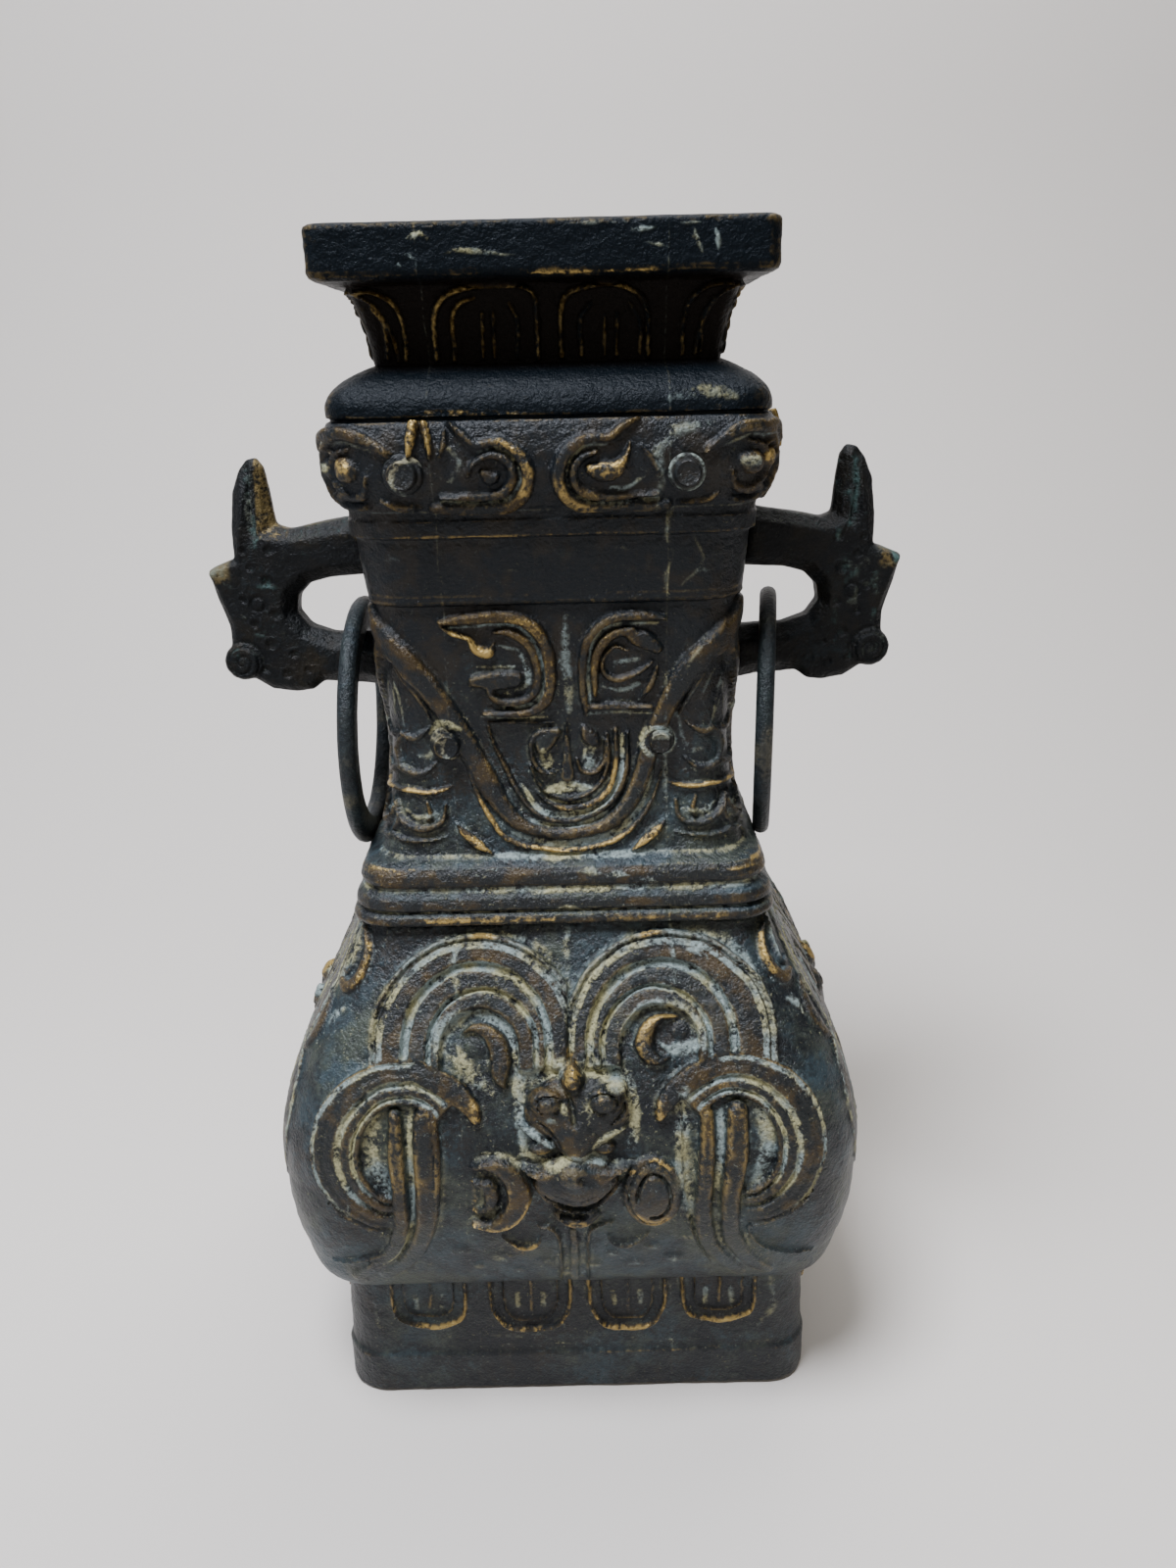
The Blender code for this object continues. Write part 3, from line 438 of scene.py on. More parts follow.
def carve_arches(c, side):
    """One horseshoe arch of the belly: a pale lip, three dark bands and the pale grooves between them."""
    x, up = side * (c.a - 0.9), np.maximum(c.z - 141, 0)

    def ring(centre, wide, tall):
        f = np.hypot((x - centre) / wide, up / tall)
        return (f - 1) * 0.5 * (wide + tall)

    outer = ring(30.4 + side, 34.4, 32.1)
    share = ease(-outer / 0.9) * ease((c.z - 133.5) / 2.5) * (c.z < 176) * ease((x + 0.4) / 1.2)
    dark_line, pale_line = np.abs(ring(30.4 + side, 32, 29.7)), np.abs(ring(30.3 + side, 30.4, 28.3))
    wide_groove, thin_groove = np.abs(ring(29.1, 22.7, 22.3)), np.abs(ring(27.3, 16.9, 15.6))
    hollow = ring(28.3, 12.8, 11.2)
    top = 3 + 0.6 * np.clip(-outer / 8, 0, 1)
    top -= 1.2 * ease((0.9 - dark_line) / 0.7) + 0.3 * ease((0.9 - pale_line) / 0.6)
    top += (1.1 - top) * ease((1.7 - wide_groove) / 1.1)
    top += (1.4 - top) * ease((1.1 - thin_groove) / 0.9)
    top += (0.2 - top) * ease(-hollow / 1.2)
    brown = (0.55 + 0.3 * (wide_groove > 1.6) * (outer > -9)) * (top > 1.5)
    c.lay(share > 0, share[share > 0], top[share > 0], brown[share > 0])
    pale = 0.6 * ease((1.7 - np.abs(outer + 1)) / 0.9) + 0.9 * ease((1.2 - pale_line) / 0.5) \
        + 1 * ease((1.9 - wide_groove) / 0.8) + 1 * ease((1.25 - thin_groove) / 0.6)
    c.pale = np.maximum(c.pale, pale * share * (hollow > 0))
    # painted highlight: bright gold along the top of the outer lip, where light catches it, over its wear; the pale
    # crust is taken off there
    lip_highlight_over_wear = ease((1.2 - np.abs(outer + 1.1)) / 0.7) * ease((4.5 - np.abs(x - 26.6)) / 3) * (c.z > 160)
    c.wear_and_highlight = np.maximum(c.wear_and_highlight, 2.5 * lip_highlight_over_wear * share)
    c.pale *= 1 - 0.8 * lip_highlight_over_wear * share


def carve_loops(c, side):
    """One side loop of the belly: a broad ring with two grooves, open below, and a hooked inner end."""
    x = side * c.a - 52
    z = c.z - 110.4
    angle = np.degrees(np.arctan2(z, x))

    def ring(wide, tall):
        f = np.hypot(x / wide, z / tall)
        return (f - 1) * 0.5 * (wide + tall)

    outer = ring(29.9, 28.4)
    part = ease((140 - angle) / 7) * ease((angle + 96) / 34)
    share = ease(-outer / 1) * part * ease(ring(13.6, 15.6) / 0.8 + 0.5)
    wide_groove, thin_groove = np.abs(ring(20.2, 21.2)), np.abs(ring(15.9, 17.6))
    top = 3.4 - 0.9 * np.clip((-outer - 4) / 12, 0, 1) - 0.9 * ease((side * c.a - 64) / 14)
    top -= 0.8 * np.clip(1 - np.abs(ring(28.3, 26.8)) / 0.7, 0, 1)
    top -= 0.4 * np.clip(1 - np.abs(ring(25, 24.4)) / 0.8, 0, 1)
    top += (1.5 - top) * ease((1.25 - wide_groove) / 0.9) * ease((138 - angle) / 10)
    top += (1.4 - top) * ease((0.9 - thin_groove) / 0.8) * ease((130 - angle) / 10)
    c.high += (top - c.high) * share
    c.brown += (0.75 * (top > 1.9) - c.brown) * share
    c.pale = np.where(share > 0.3, 0, c.pale)
    groove_pale = ease((1.5 - wide_groove) / 0.8) + ease((1.1 - thin_groove) / 0.6) \
        + 0.9 * ease((1 - np.abs(ring(28.2, 26.6))) / 0.5)
    c.pale = np.maximum(c.pale, groove_pale * share * ease((angle + 60) / 30) * ease((138 - angle) / 10))
    c.wear_and_highlight = np.where(share > 0.3, 0.15 * ease((1.2 - np.abs(outer + 0.7)) / 0.8), c.wear_and_highlight)
    c.band(flip([(46, 134.6, 3.3), (39.6, 131.6, 3.7), (34, 128.2, 3.7), (30.2, 124.2, 3),
                 (28.8, 120.6, 1.7)], side), 2.9, 0.85, crown=0.3)
    c.rub_and_highlight(flip([(30, 125.6, 2.2), (28.6, 121.6, 2.6)], side), 0.7, edge=2)
    # the hollow inside the ring is a smooth pale pocket
    c.lay_crust_and_highlight(flip([(60.5, 121, 3.2), (62, 112, 3.8), (60, 103, 3.2), (58, 98, 2)], side), 0.8)
    # lip at the lower end, and the fold of the wall under it
    c.band(flip([(77, 94, 0.5), (70, 88, 0.9), (63, 84.2, 1.1), (58, 82.4, 0.9)], side), 3.2, 0.5, edge=0.7)
    c.band(flip([(58.6, 82.6, 0.7), (57.2, 79.4, 0.9), (58.8, 75, 0.9), (63, 71.2, 0.9), (70, 68.4, 0.9),
                 (80, 66.4, 0.6)], side), 1.2, 0.3)
    c.cut(flip([(60, 79.5, 0.6), (61, 76, 0.7), (65, 72.8, 0.7), (72, 70.6, 0.5)], side), 0.6)


def carve_straps(c):
    """Two upright straps that come out of each loop and spread a little as they sink towards the foot."""
    straps = ( [(-54.2, 122.6, 2.6), (-54.2, 112, 3.1), (-53.8, 98, 3), (-53.8, 90, 3), (-55.2, 81, 3.1),
                (-58.5, 73, 3.2), (-64, 66, 3.3), (-71, 60, 3.2)], [(-44.8, 121.4, 4.3), (-44.6, 112, 4.9),
                                                                    (-44.8, 100, 4.6), (-45.6, 90, 4.2),
                                                                    (-47.4, 81, 3.8), (-50.4, 74, 3.6),
                                                                    (-55, 67, 3.5), (-61, 61, 3.4)],
              [(43.2, 121.6, 2.8), (43.2, 110, 3.2), (42.6, 98, 3.3), (42.2, 88, 3.4), (43.4, 78, 3.4),
               (46.4, 70, 3.3), (51, 63, 3.2), (55, 58, 3)], [(53, 121.4, 3.8), (52.6, 110, 4.2),
                                                              (51.4, 98, 3.9), (50.8, 88, 3.7),
                                                              (51.4, 79, 3.6), (54.4, 71, 3.4),
                                                              (59, 64, 3.2), (64, 59, 3)])
    for points in straps:
        c.band(points, 3.3, 0.8, edge=1.3, lines=(1.3,), crown=0.2, falls=(58, 100, 0.28))
        c.rub_and_highlight([(a, z, w) for a, z, w in points if z > 97], 0.14)
    c.cut([(-43, 124, 0.5), (-42.4, 112, 0.6), (-42.6, 100, 0.4)], 0.5)
    for path in ([(-49.6, 124, 1.2), (-49.6, 108, 1.3), (-49.4, 98, 0.9), (-50.6, 88, 0.8), (-53, 79, 0.8),
                  (-57.6, 71.4, 0.8), (-66, 64, 0.7)], [(47.6, 122, 1.3), (47.4, 108, 1.3),
                                                        (46.4, 96, 0.9)]):
        c.lay_crust_and_highlight(path, 0.95, edge=0.9)
    c.band([(35.6, 127, 0.6), (35.2, 112, 0.9), (36, 96, 0.9), (37.6, 84, 0.9), (41, 73, 0.8),
            (45.5, 64, 0.7)], 1.3, 0.1)
    c.lay_crust_and_highlight([(36.5, 128, 3), (36, 112, 3.4), (36.6, 98, 3.2), (37.4, 86, 2)], 0.75)


def carve_curls(c):
    """Small curls of the belly: inside the arches, beside the snout, and low between the straps."""
    c.lay_crust_and_highlight([(-40, 141, 3), (-37.6, 147, 3.6), (-31, 151, 1.6)], 1, edge=2)
    c.lay_crust_and_highlight([(-31, 150.4, 1.2), (-25, 149.8, 1.9), (-19.6, 147.4, 1.9), (-16.6, 142, 1.7),
             (-15.2, 135, 1.6)], 1, edge=1.4)
    c.lay_crust_and_highlight([(-36, 140, 3.4), (-30, 134, 3.4), (-24, 128.6, 2.4)], 0.9, edge=2.4)
    c.band([(-32.6, 145.2, 0.8), (-28.6, 146.4, 2), (-24, 144.8, 3.2), (-21.4, 141, 3.9), (-20.8, 136.4, 4),
            (-20.4, 132.4, 2.6), (-19, 129.4, 0.7)], 3, 0.8, edge=1.6, crown=0.8)
    c.knob(-28.4, 141.4, 4, 3.6, 1.2, 0.1)
    c.cut([(-26.4, 137.4, 0.6), (-23.4, 137.2, 0.7)], 1.2)
    c.band([(35.4, 148.4, 0.6), (30.6, 148.2, 1.5), (26, 145.6, 2.9), (24.4, 141.6, 3.5), (25.8, 138.2, 3),
            (29.6, 136.6, 1.7), (32.6, 137.6, 0.6)], 3, 0.95, edge=1.4, crown=0.9)
    c.rub_and_highlight([(34, 148.8, 1), (29.6, 148.8, 1.3), (25, 146.4, 1.4)], 0.7, edge=1)
    c.rub_and_highlight([(24.6, 144.4, 2.6), (23.6, 140, 2.6), (26.6, 136.6, 2)], 0.35)
    c.lay_crust_and_highlight([(16.8, 140, 1), (18.4, 146, 1.5), (23, 150.6, 1.6), (30, 152, 1.6), (37, 150.6, 1.8),
             (41.4, 146, 2), (43, 140, 1.8)], 0.95, edge=1.4)
    c.knob(35.8, 144.6, 3.2, 2.6, 1, 0.1)
    c.lay_crust_and_highlight([(29.2, 141.8, 1), (31.6, 139.8, 1.5), (36.4, 139.4, 2.6), (41, 140.6, 2)], 1, edge=1.4)
    # curl to the left of the snout: a plump comma with a crescent in it
    c.band([(-31, 105.6, 0.8), (-25, 107, 2.6), (-18.6, 103.6, 4), (-16, 96.4, 4.6), (-18.4, 89, 4.2),
            (-24, 84.6, 3), (-31, 85, 1.5)], 3.4, 0.95, edge=1.6, crown=0.6)
    c.band([(-30.4, 100.8, 0.8), (-26, 99.6, 2.6), (-24.6, 95.6, 3), (-26.4, 91.6, 2.2), (-31, 89.6, 0.8)],
           2.6, 0.9, edge=1.4, crown=0.5)
    c.cut([(-29, 103.4, 0.5), (-22.6, 101.6, 0.7), (-20.6, 96, 0.8), (-22.4, 90, 0.8), (-29, 87.2, 0.5)],
          1.4)
    c.rub_and_highlight([(-31, 101, 1.4), (-30.6, 96, 1.6), (-31, 90, 1.3)], 0.8)
    c.rub_and_highlight([(-31, 85, 1.2), (-24, 83.2, 1.5), (-16, 87.6, 1.4), (-12.6, 94, 1.2)], 1)
    c.rub_and_highlight([(-19, 101, 2), (-17.6, 94, 2.2)], 0.3)
    c.lay_crust_and_highlight([(-26, 110.6, 0.8), (-20, 109.2, 1), (-14, 105, 0.8)], 0.6, edge=1.2)
    # curl to the right: an oval with a sunk middle and fine lines round it
    c.knob(26.2, 95, 9.6, 13.4, 3.2, 0.6, power=0.4)
    c.cut(oval(26.6, 94.6, 5.2, 8, -100, 190, 0.8), 1.5)
    c.cut(oval(26.4, 94.8, 7.6, 11.2, 30, 300, 0.5), 1)
    c.rub_and_highlight([(20, 103, 1.6), (26, 107, 1.8), (32, 104, 1.4)], 0.8)
    c.rub_and_highlight([(21.6, 87, 1.6), (26.4, 83.6, 1.8), (31, 86, 1.4)], 0.7)
    for side in (-1, 1):
        c.band(flip([(24, 78.6, 0.5), (20.4, 75.4, 1), (16.4, 73, 1.3), (12.6, 74.4, 1.1), (10.8, 78, 0.5)],
                    side, 1), 1.4, 0.6)
    c.band([(-4, 56, 0.9), (-3.8, 70, 1), (-4.2, 77, 1), (-6.4, 81.6, 1), (-10.8, 82.8, 0.5)], 1.8, 0.4)
    c.band([(5.2, 56, 0.9), (5, 70, 1), (5.4, 77, 1), (7.4, 82, 1), (13.4, 83.4, 0.5)], 1.8, 0.4)
    c.band([(0.5, 56, 2), (0.7, 80, 1.6)], 1, 0.2, curved=False)
    c.rub_and_highlight([(-24, 74, 4), (-17, 71, 4)], 0.45)


def carve_mask(c):
    """Beast mask in the middle of the belly: a horn over two eyes, a narrow nose, cheeks and a broad snout."""
    # crust all round the head
    c.lay_crust_and_highlight([(-14, 110, 1.8), (-15.4, 122, 2.2), (-14.6, 132, 2.8), (-8, 133.6, 2.8), (2, 136, 3.4),
             (12, 134, 3.2), (18.6, 130.6, 3), (20.8, 122, 2.4), (20, 112, 2.2)], 1, edge=1.6)
    # head, and the nose that narrows down between the cheeks
    c.knob(3.2, 123.6, 17, 10.4, 5.6, 0.9, power=0.45)
    c.knob(2.6, 117, 8.6, 8.6, 6.2, 0.9, power=0.6)
    c.knob(2.6, 112, 4.6, 5.6, 5.6, 0.9, power=0.6)
    c.knob(-6, 126, 6.8, 5.2, 8.2, 0.9, power=0.6)
    c.knob(11.4, 126.2, 7.4, 5.4, 8.2, 0.9, power=0.6)
    c.cut(oval(-5.6, 125.6, 3.8, 2.4, -170, 170, 0.6), 1.5)
    c.cut(oval(11.2, 125.6, 4.4, 2.6, -10, 330, 0.6), 1.5)
    c.knob(15, 130, 3.4, 2.2, 1.6, 0.1, base=6.4)
    c.lay_crust_and_highlight([(13.4, 130.2, 1.6), (16.4, 129.4, 1.4)], 0.9, edge=1)
    c.cut([(17.6, 126, 0.5), (17.4, 122.6, 0.8), (13.4, 119.4, 0.5)], 1.3)
    c.cut([(-9.6, 121, 0.5), (-5.4, 117.4, 0.7), (-2.4, 112.6, 0.5)], 1.2)
    c.cut([(-0.4, 129.4, 0.6), (1.6, 124, 1.1), (2.2, 119.6, 0.8)], 1.5)
    c.lay_crust_and_highlight([(-1.2, 124.6, 1.5), (-0.6, 123, 1.3)], 1, edge=0.8, curved=False)
    c.lay_crust_and_highlight([(-5.6, 121.2, 1.2), (-4.2, 120.8, 1.1)], 1, edge=0.8, curved=False)
    c.lay_crust_and_highlight([(5.2, 127, 1.2), (6.4, 123.4, 1.9), (7, 120.4, 1.1)], 0.6, edge=1.6)
    c.knob(1.9, 132.2, 5, 5.4, 8.6, 0.9, power=0.8)
    c.band([(1.9, 131.4, 3.2), (2, 134.4, 2.4), (2.1, 138.6, 0.6)], 8, 0.9, edge=2.6, crown=1.6)
    c.pale *= 1 - ease((3.6 - np.hypot(c.a - 2, (c.z - 135.2) / 1.4)) / 1)
    c.rub_and_highlight([(1.9, 132.4, 3), (2, 138.6, 2.4)], 3)
    c.rub_and_highlight([(8.4, 129.6, 1.2), (10.6, 127.8, 1.4)], 0.8)
    # cheeks: a fold painted pale as a highlight, over a brown bead
    for side, tail, share in ((-1, (-15.4, 119.4, 0.9), 0.5), (1, (18, 118, 0.9), 0.9)):
        shift = 3 if side > 0 else 0
        c.band([tail, (side * 10 + shift, 116, 2), (side * 5 + shift, 112.4, 1.3)], 3, 0.1, edge=1.2,
               crown=0.4)
        c.lay_crust_and_highlight([tail, (side * 10 + shift, 116, 1.8), (side * 5 + shift, 112.4, 1.2)], 1, edge=1.2)
        c.knob(side * 8.6 + 0.9 * shift, 111.8, 3.8, 2.3, 3.4, share, power=0.5)
        c.rub_and_highlight([(side * 6.6 + 0.9 * shift, 110.6, 1), (side * 10.6 + 0.9 * shift, 110.6, 1.2)], share,
              edge=1)
    c.lay_crust_and_highlight([(-15, 109.4, 1.2), (-9, 108, 1.5), (-5, 106.4, 1.6), (-1, 108.8, 1.4), (1.6, 110, 1.2),
             (6, 109.2, 1.5), (10.6, 107.6, 1.5), (15, 106.6, 1)], 1, edge=1.2)
    # snout: a bowl with wings, its brow lump, the folds along its low edge and the open mouth
    c.knob(2, 100.4, 13.6, 9, 6.4, 0.6, power=0.4)
    c.knob(1.2, 104.2, 6.6, 5.2, 8.2, 0.35, power=0.5)
    c.band([(3.6, 104.2, 1.8), (10, 103.4, 2.2), (15, 104.8, 1.7), (21, 106, 0.7)], 5.4, 0.95, edge=1.6)
    c.band([(-3.6, 104.2, 1.6), (-9, 103.8, 1.9), (-14.4, 105.6, 1)], 5.2, 0.85, edge=1.6)
    c.cut([(-8.4, 97.6, 0.4), (-3.4, 93.6, 0.8), (1.6, 92, 0.9), (6.6, 93.2, 0.8), (11, 96.4, 0.6),
           (16, 101.4, 0.4)], 2)
    c.band([(-8.6, 95.6, 0.6), (-4, 92, 1), (1.6, 90.2, 1.1), (6.8, 91.4, 1.1), (11.4, 94.8, 1),
            (16.6, 100.2, 0.6)], 4, 0.5, edge=1)
    c.cut([(-5.4, 98.6, 0.4), (1.6, 95.6, 0.5), (8.4, 98.2, 0.4)], 0.6)
    c.cut([(-4.4, 101, 0.3), (1.6, 98.4, 0.4), (8, 100.6, 0.3)], 0.5)
    c.knob(2, 87.4, 7.4, 4.4, 3.4, 0.3, power=0.4)
    c.cut([(-1.6, 88.2, 1.7), (3.6, 88, 1.8)], 2.8, curved=False)
    c.band([(-3.8, 88, 0.6), (-1.4, 85.2, 1), (2, 84.2, 1.2), (5.6, 85.4, 1), (7.8, 88.4, 0.5)], 3.4, 0.7)
    c.rub_and_highlight([(-1, 85.2, 1.3), (5, 85.2, 1.3)], 0.45)
    # crust in the valley between the arches, down the seams and beside the left leaf
    c.lay_crust_and_highlight([(0.9, 173, 2.2), (0.9, 164, 1.7), (0.9, 156, 1.1), (0.9, 148, 0.7)], 0.7, edge=1.8)
    c.lay_crust_and_highlight([(-34.6, 172, 0.8), (-35, 163, 1.8), (-33.8, 155, 1)], 0.85, edge=1.4)
    c.lay_crust_and_highlight([(34, 174, 1.1), (34.6, 163, 1.4), (34.4, 152, 1)], 0.8, edge=1.4)
    c.lay_crust_and_highlight([(38.6, 166.8, 0.8), (42, 166, 1.4), (45, 164, 0.9)], 0.9, edge=0.9)
    c.lay_crust_and_highlight([(36, 173.6, 1), (46, 171.8, 2.2), (56, 166, 2.6), (62, 157, 1.8)], 0.6, edge=2.2)
    c.lay_crust_and_highlight([(-20, 172.6, 1), (-10, 169.6, 1.8), (-4, 165.6, 1.6)], 0.7, edge=1.8)
    for a, z, w, share in ((-36, 72, 1.6, 0.6), (-31, 64, 1.1, 0.8), (-24, 68, 2.2, 0.5),
                           (-18, 61, 1.2, 0.9), (-9, 66, 1.5, 0.6), (-3, 59.6, 1.3, 0.8), (7, 63, 1.6, 0.6),
                           (13, 69, 1.3, 0.7), (20, 63.6, 1.8, 0.6), (27, 72, 1.4, 0.8), (33, 66, 1.8, 0.6),
                           (38, 76, 1.3, 0.8)):
        c.knob(a, z, 2.2 * w, 1.5 * w, 0.5, 0.3)
        c.lay_crust_and_highlight([(a - 1.6 * w, z + 0.8, 0.5), (a, z, w), (a + 1.8 * w, z - 1, 0.6)], share, edge=1.3)
    c.rub_and_highlight([(-21, 73, 1.6), (-15.6, 70.6, 1.8), (-12, 74.6, 1.2)], 0.8)


def carve_belly(c):
    """Belly: arches, then the loops over their feet, straps over the loops, curls and the mask."""
    for side in (-1, 1):
        carve_arches(c, side)
    for side in (-1, 1):
        carve_loops(c, side)
    carve_straps(c)
    carve_curls(c)
    carve_mask(c)


def carve_neck(c):
    """Neck: a hanging wave in nested strands, two C-scrolls above it, an anchor in its bend."""
    # three ridges: brown along their tops, pale crust in the grooves between them, worn gold at the lowest
    for z, w in ((191.2, 3.3), (183.2, 2), (177.9, 1.7)):
        c.band([(-72, z, w), (72, z, w)], 0, 0.9, edge=1.3, curved=False)
    for a, b, z, w, share in ((-72, 72, 187, 0.9, 0.45), (-30, 25, 187, 1.4, 1), (-72, 72, 180.4, 0.7, 0.4),
                              (-72, 72, 196.4, 0.9, 0.5), (-20, 26, 196.2, 1.3, 0.9),
                              (34, 60, 186.8, 1.3, 0.7)):
        c.lay_crust_and_highlight([(a, z, w), (b, z, w)], share, curved=False, edge=0.9)
    for a, z, w in ((9, 192.6, 1.8), (17, 191.6, 1.6), (2, 181.4, 1.3), (-22, 193.4, 0.9),
                    (27, 189.4, 1.6)):
        c.lay_crust_and_highlight([(a - 4, z, 0.5), (a, z + 0.3, w), (a + 4, z - 0.4, 0.6)], 0.75, edge=1.1)
    for a, b, z, share in ((-44, -3, 178.2, 0.8), (14, 52, 178.2, 0.45), (-62, -46, 193.6, 0.5),
                           (44, 62, 192.8, 0.4)):
        c.rub_and_highlight([(a, z, 1), (b, z, 1.1)], share, edge=0.9)
    # broad brown wave from corner to corner, its golden lower lip and the strands inside the bend
    c.band([(-67, 275.5, 3.8), (-60, 270, 4.2), (-51, 264.5, 4.3), (-43.4, 256, 4.3), (-37, 247, 4.2),
            (-31.4, 237, 4.2), (-26.4, 227, 4.2), (-22.2, 218.6, 4.1), (-17.2, 210.6, 3.4),
            (-10.6, 205, 2.6), (0, 203, 2.3), (12, 204.6, 2.5), (20, 210, 3.2), (25, 219, 3.6),
            (28.4, 230, 3.6), (33.4, 243, 3.8), (41, 255.6, 4.2), (48.6, 262.6, 4.2), (57, 269, 4.1),
            (67, 275, 3.8)], 2.3, 0.75, edge=1.3, crown=0.5, lines=(1.2,))
    c.band([(-30, 228, 0.6), (-26.6, 217, 1.1), (-20.6, 205.4, 1.2), (-14, 199.8, 1.2), (-5, 198, 1.2),
            (4, 197.7, 1.2), (13, 198.9, 1.2), (21.4, 203.4, 1.2), (28, 211.4, 1.1), (32, 222, 0.6)], 1.7,
           0.8, edge=0.8)
    c.rub_and_highlight([(-26.6, 217, 1.6), (-20.6, 205.4, 1.8), (-12, 199.2, 1.8), (4, 197.7, 1.8), (13, 198.9, 1.8),
           (22, 204, 1.8)], 0.6)
    c.groove([(-15.4, 203.4, 0.6), (-8, 200.4, 0.9), (3, 199.8, 1), (13, 201.2, 1), (20.4, 205.4, 1),
              (25.6, 211.6, 0.8), (29, 222, 0.5)], 0.5, 0.75)
    c.band([(-22, 238, 0.7), (-18.6, 228, 1), (-14.8, 219.4, 1.1), (-10.4, 212.4, 1.2), (-5, 208, 1.2),
            (0, 206.9, 1.2), (4, 206.9, 1.2), (11, 209.3, 1.3), (17.6, 214.8, 1.3), (20.6, 223, 1.2),
            (21.6, 235, 0.8)], 1.9, 0.55, edge=0.8)
    c.groove([(-9, 207.2, 0.5), (-2, 205.4, 0.7), (6, 205.6, 0.7), (14.4, 209.4, 0.6)], 0.4, 0.7)
    c.groove([(-12, 218.4, 0.6), (-7, 211, 0.9), (-2, 209, 1), (3, 208.8, 1.1), (9, 210.1, 1.1),
              (15, 213.8, 1), (19.2, 222, 0.8), (19.8, 234, 0.5)], 0.3, 1)
    c.band([(-7.4, 216.4, 0.7), (-3.4, 212.8, 1.1), (0, 211.3, 1.3), (3.4, 211, 1.3), (9.4, 212.2, 1.3),
            (15, 216.2, 1.3), (17.6, 224, 1.2), (17.8, 236, 1)], 1.9, 0.9, edge=0.8)
    c.rub_and_highlight([(0, 211.3, 1.8), (5, 211, 1.8), (11, 213, 1.8), (16, 218, 1.8), (17.6, 226, 1.4)], 0.55)
    c.band([(-9.6, 225, 0.7), (-7, 219.6, 0.9), (-3.4, 216, 1), (0.6, 214.2, 1), (4, 214, 1),
            (8.8, 215.6, 1), (13.2, 219.6, 1), (15.2, 226, 1), (15, 234.6, 0.8)], 1.7, 0.6, edge=0.7)
    c.groove([(-4.6, 214.2, 0.4), (0, 212.8, 0.5), (5, 212.7, 0.5), (11, 215, 0.5), (15.4, 220, 0.4)], 0.3,
             0.8)
    # anchor: a stem, two dark lobes and two hooks round pale hollows
    c.lay_crust_and_highlight([(-5, 216.6, 1), (2, 217.6, 2.4), (9.4, 217.4, 1.2)], 0.9, edge=1.2)
    c.band([(2.6, 241, 0.6), (2.5, 231, 1.4), (2.4, 221.4, 2.6)], 1.1, 0.2, edge=1)
    c.band([(-0.6, 235.8, 2), (-4.4, 232.6, 3.6), (-6.4, 229.6, 1.6)], 1.7, 0.3, edge=1.4, crown=0.5)
    c.band([(-1.5, 236.6, 0.8), (-6, 235.8, 1.1), (-8.8, 232, 1.1), (-8.6, 227, 1.1), (-6, 223, 1.1),
            (-2, 222, 0.8)], 1.9, 0.6, edge=0.8)
    c.lay_crust_and_highlight([(-4.6, 229, 2.4), (-3.6, 225.4, 2.6)], 1, edge=1.6)
    c.band([(8, 236.4, 1.8), (9.8, 233.6, 3.2), (12, 231.4, 1.2)], 1.7, 0.4, edge=1.4, crown=0.5)
    c.band([(14.2, 233, 0.8), (14.2, 226.4, 1.1), (11, 222.2, 1.1), (7, 223, 1), (5.4, 226.6, 0.7)], 1.9,
           0.7, edge=0.8)
    c.lay_crust_and_highlight([(9.2, 229.4, 2.4), (9, 225.6, 2.6)], 1, edge=1.6)
    c.band([(-22, 239.4, 0.5), (-12, 239.3, 0.9), (-2, 238.9, 0.7)], 1, 0.3, edge=0.6)
    c.lay_crust_and_highlight([(-24, 241, 0.5), (-12, 240.8, 0.8), (-4, 240.6, 0.6)], 0.8, edge=0.7)
    # left C-scroll: two strands side by side with a pale groove, a bar and a golden flame
    c.band([(-34.5, 271.6, 1.4), (-24, 272.3, 2.1), (-14, 272.3, 2.2), (-7.2, 270, 2.3), (-2.9, 263.2, 2.3),
            (-1.9, 255, 2.2), (-3.2, 247.2, 2.1), (-8, 242.7, 1.8), (-16, 242.2, 1.5), (-23, 242.4, 0.9)],
           2.3, 0.85, edge=0.9, crown=0.3)
    c.band([(-18.6, 267.8, 0.8), (-14, 267.6, 1.5), (-8.4, 264, 1.8), (-5.7, 256.4, 1.8), (-6.3, 250, 1.7),
            (-10, 246.4, 1.6), (-16.6, 245.8, 1.6), (-20.4, 248.2, 1.5), (-20.2, 252.8, 1.4)], 2.1, 0.9,
           edge=0.9, crown=0.2)
    c.groove([(-32, 269.6, 0.4), (-14, 269.9, 0.6), (-8.2, 266.8, 0.6), (-4.7, 260.4, 0.6),
              (-3.8, 255, 0.6), (-4.6, 249, 0.6), (-8.4, 244.8, 0.6), (-18, 244.2, 0.4)], 0.9, 0.75)
    c.lay_crust_and_highlight([(-17, 263.6, 0.8), (-11.4, 261.6, 1.2), (-9, 256, 1.4), (-9.4, 250.6, 1.2),
             (-15.4, 248.6, 0.9)], 0.9, edge=1)
    c.band([(-25.6, 252.8, 2.2), (-19, 252.8, 3.5), (-12.6, 252.9, 2.9)], 1.9, 0.95, edge=1.2, crown=0.4)
    c.lay_crust_and_highlight([(-24, 257.2, 0.7), (-13, 257, 0.9)], 0.8, edge=0.8)
    c.band([(-34.6, 270.2, 0.7), (-31, 267.8, 1.2), (-26.6, 266.2, 1), (-24.4, 262.8, 1.7),
            (-20.4, 261.4, 1.8), (-18.4, 264.6, 0.7)], 2.2, 1, edge=0.9, crown=0.3)
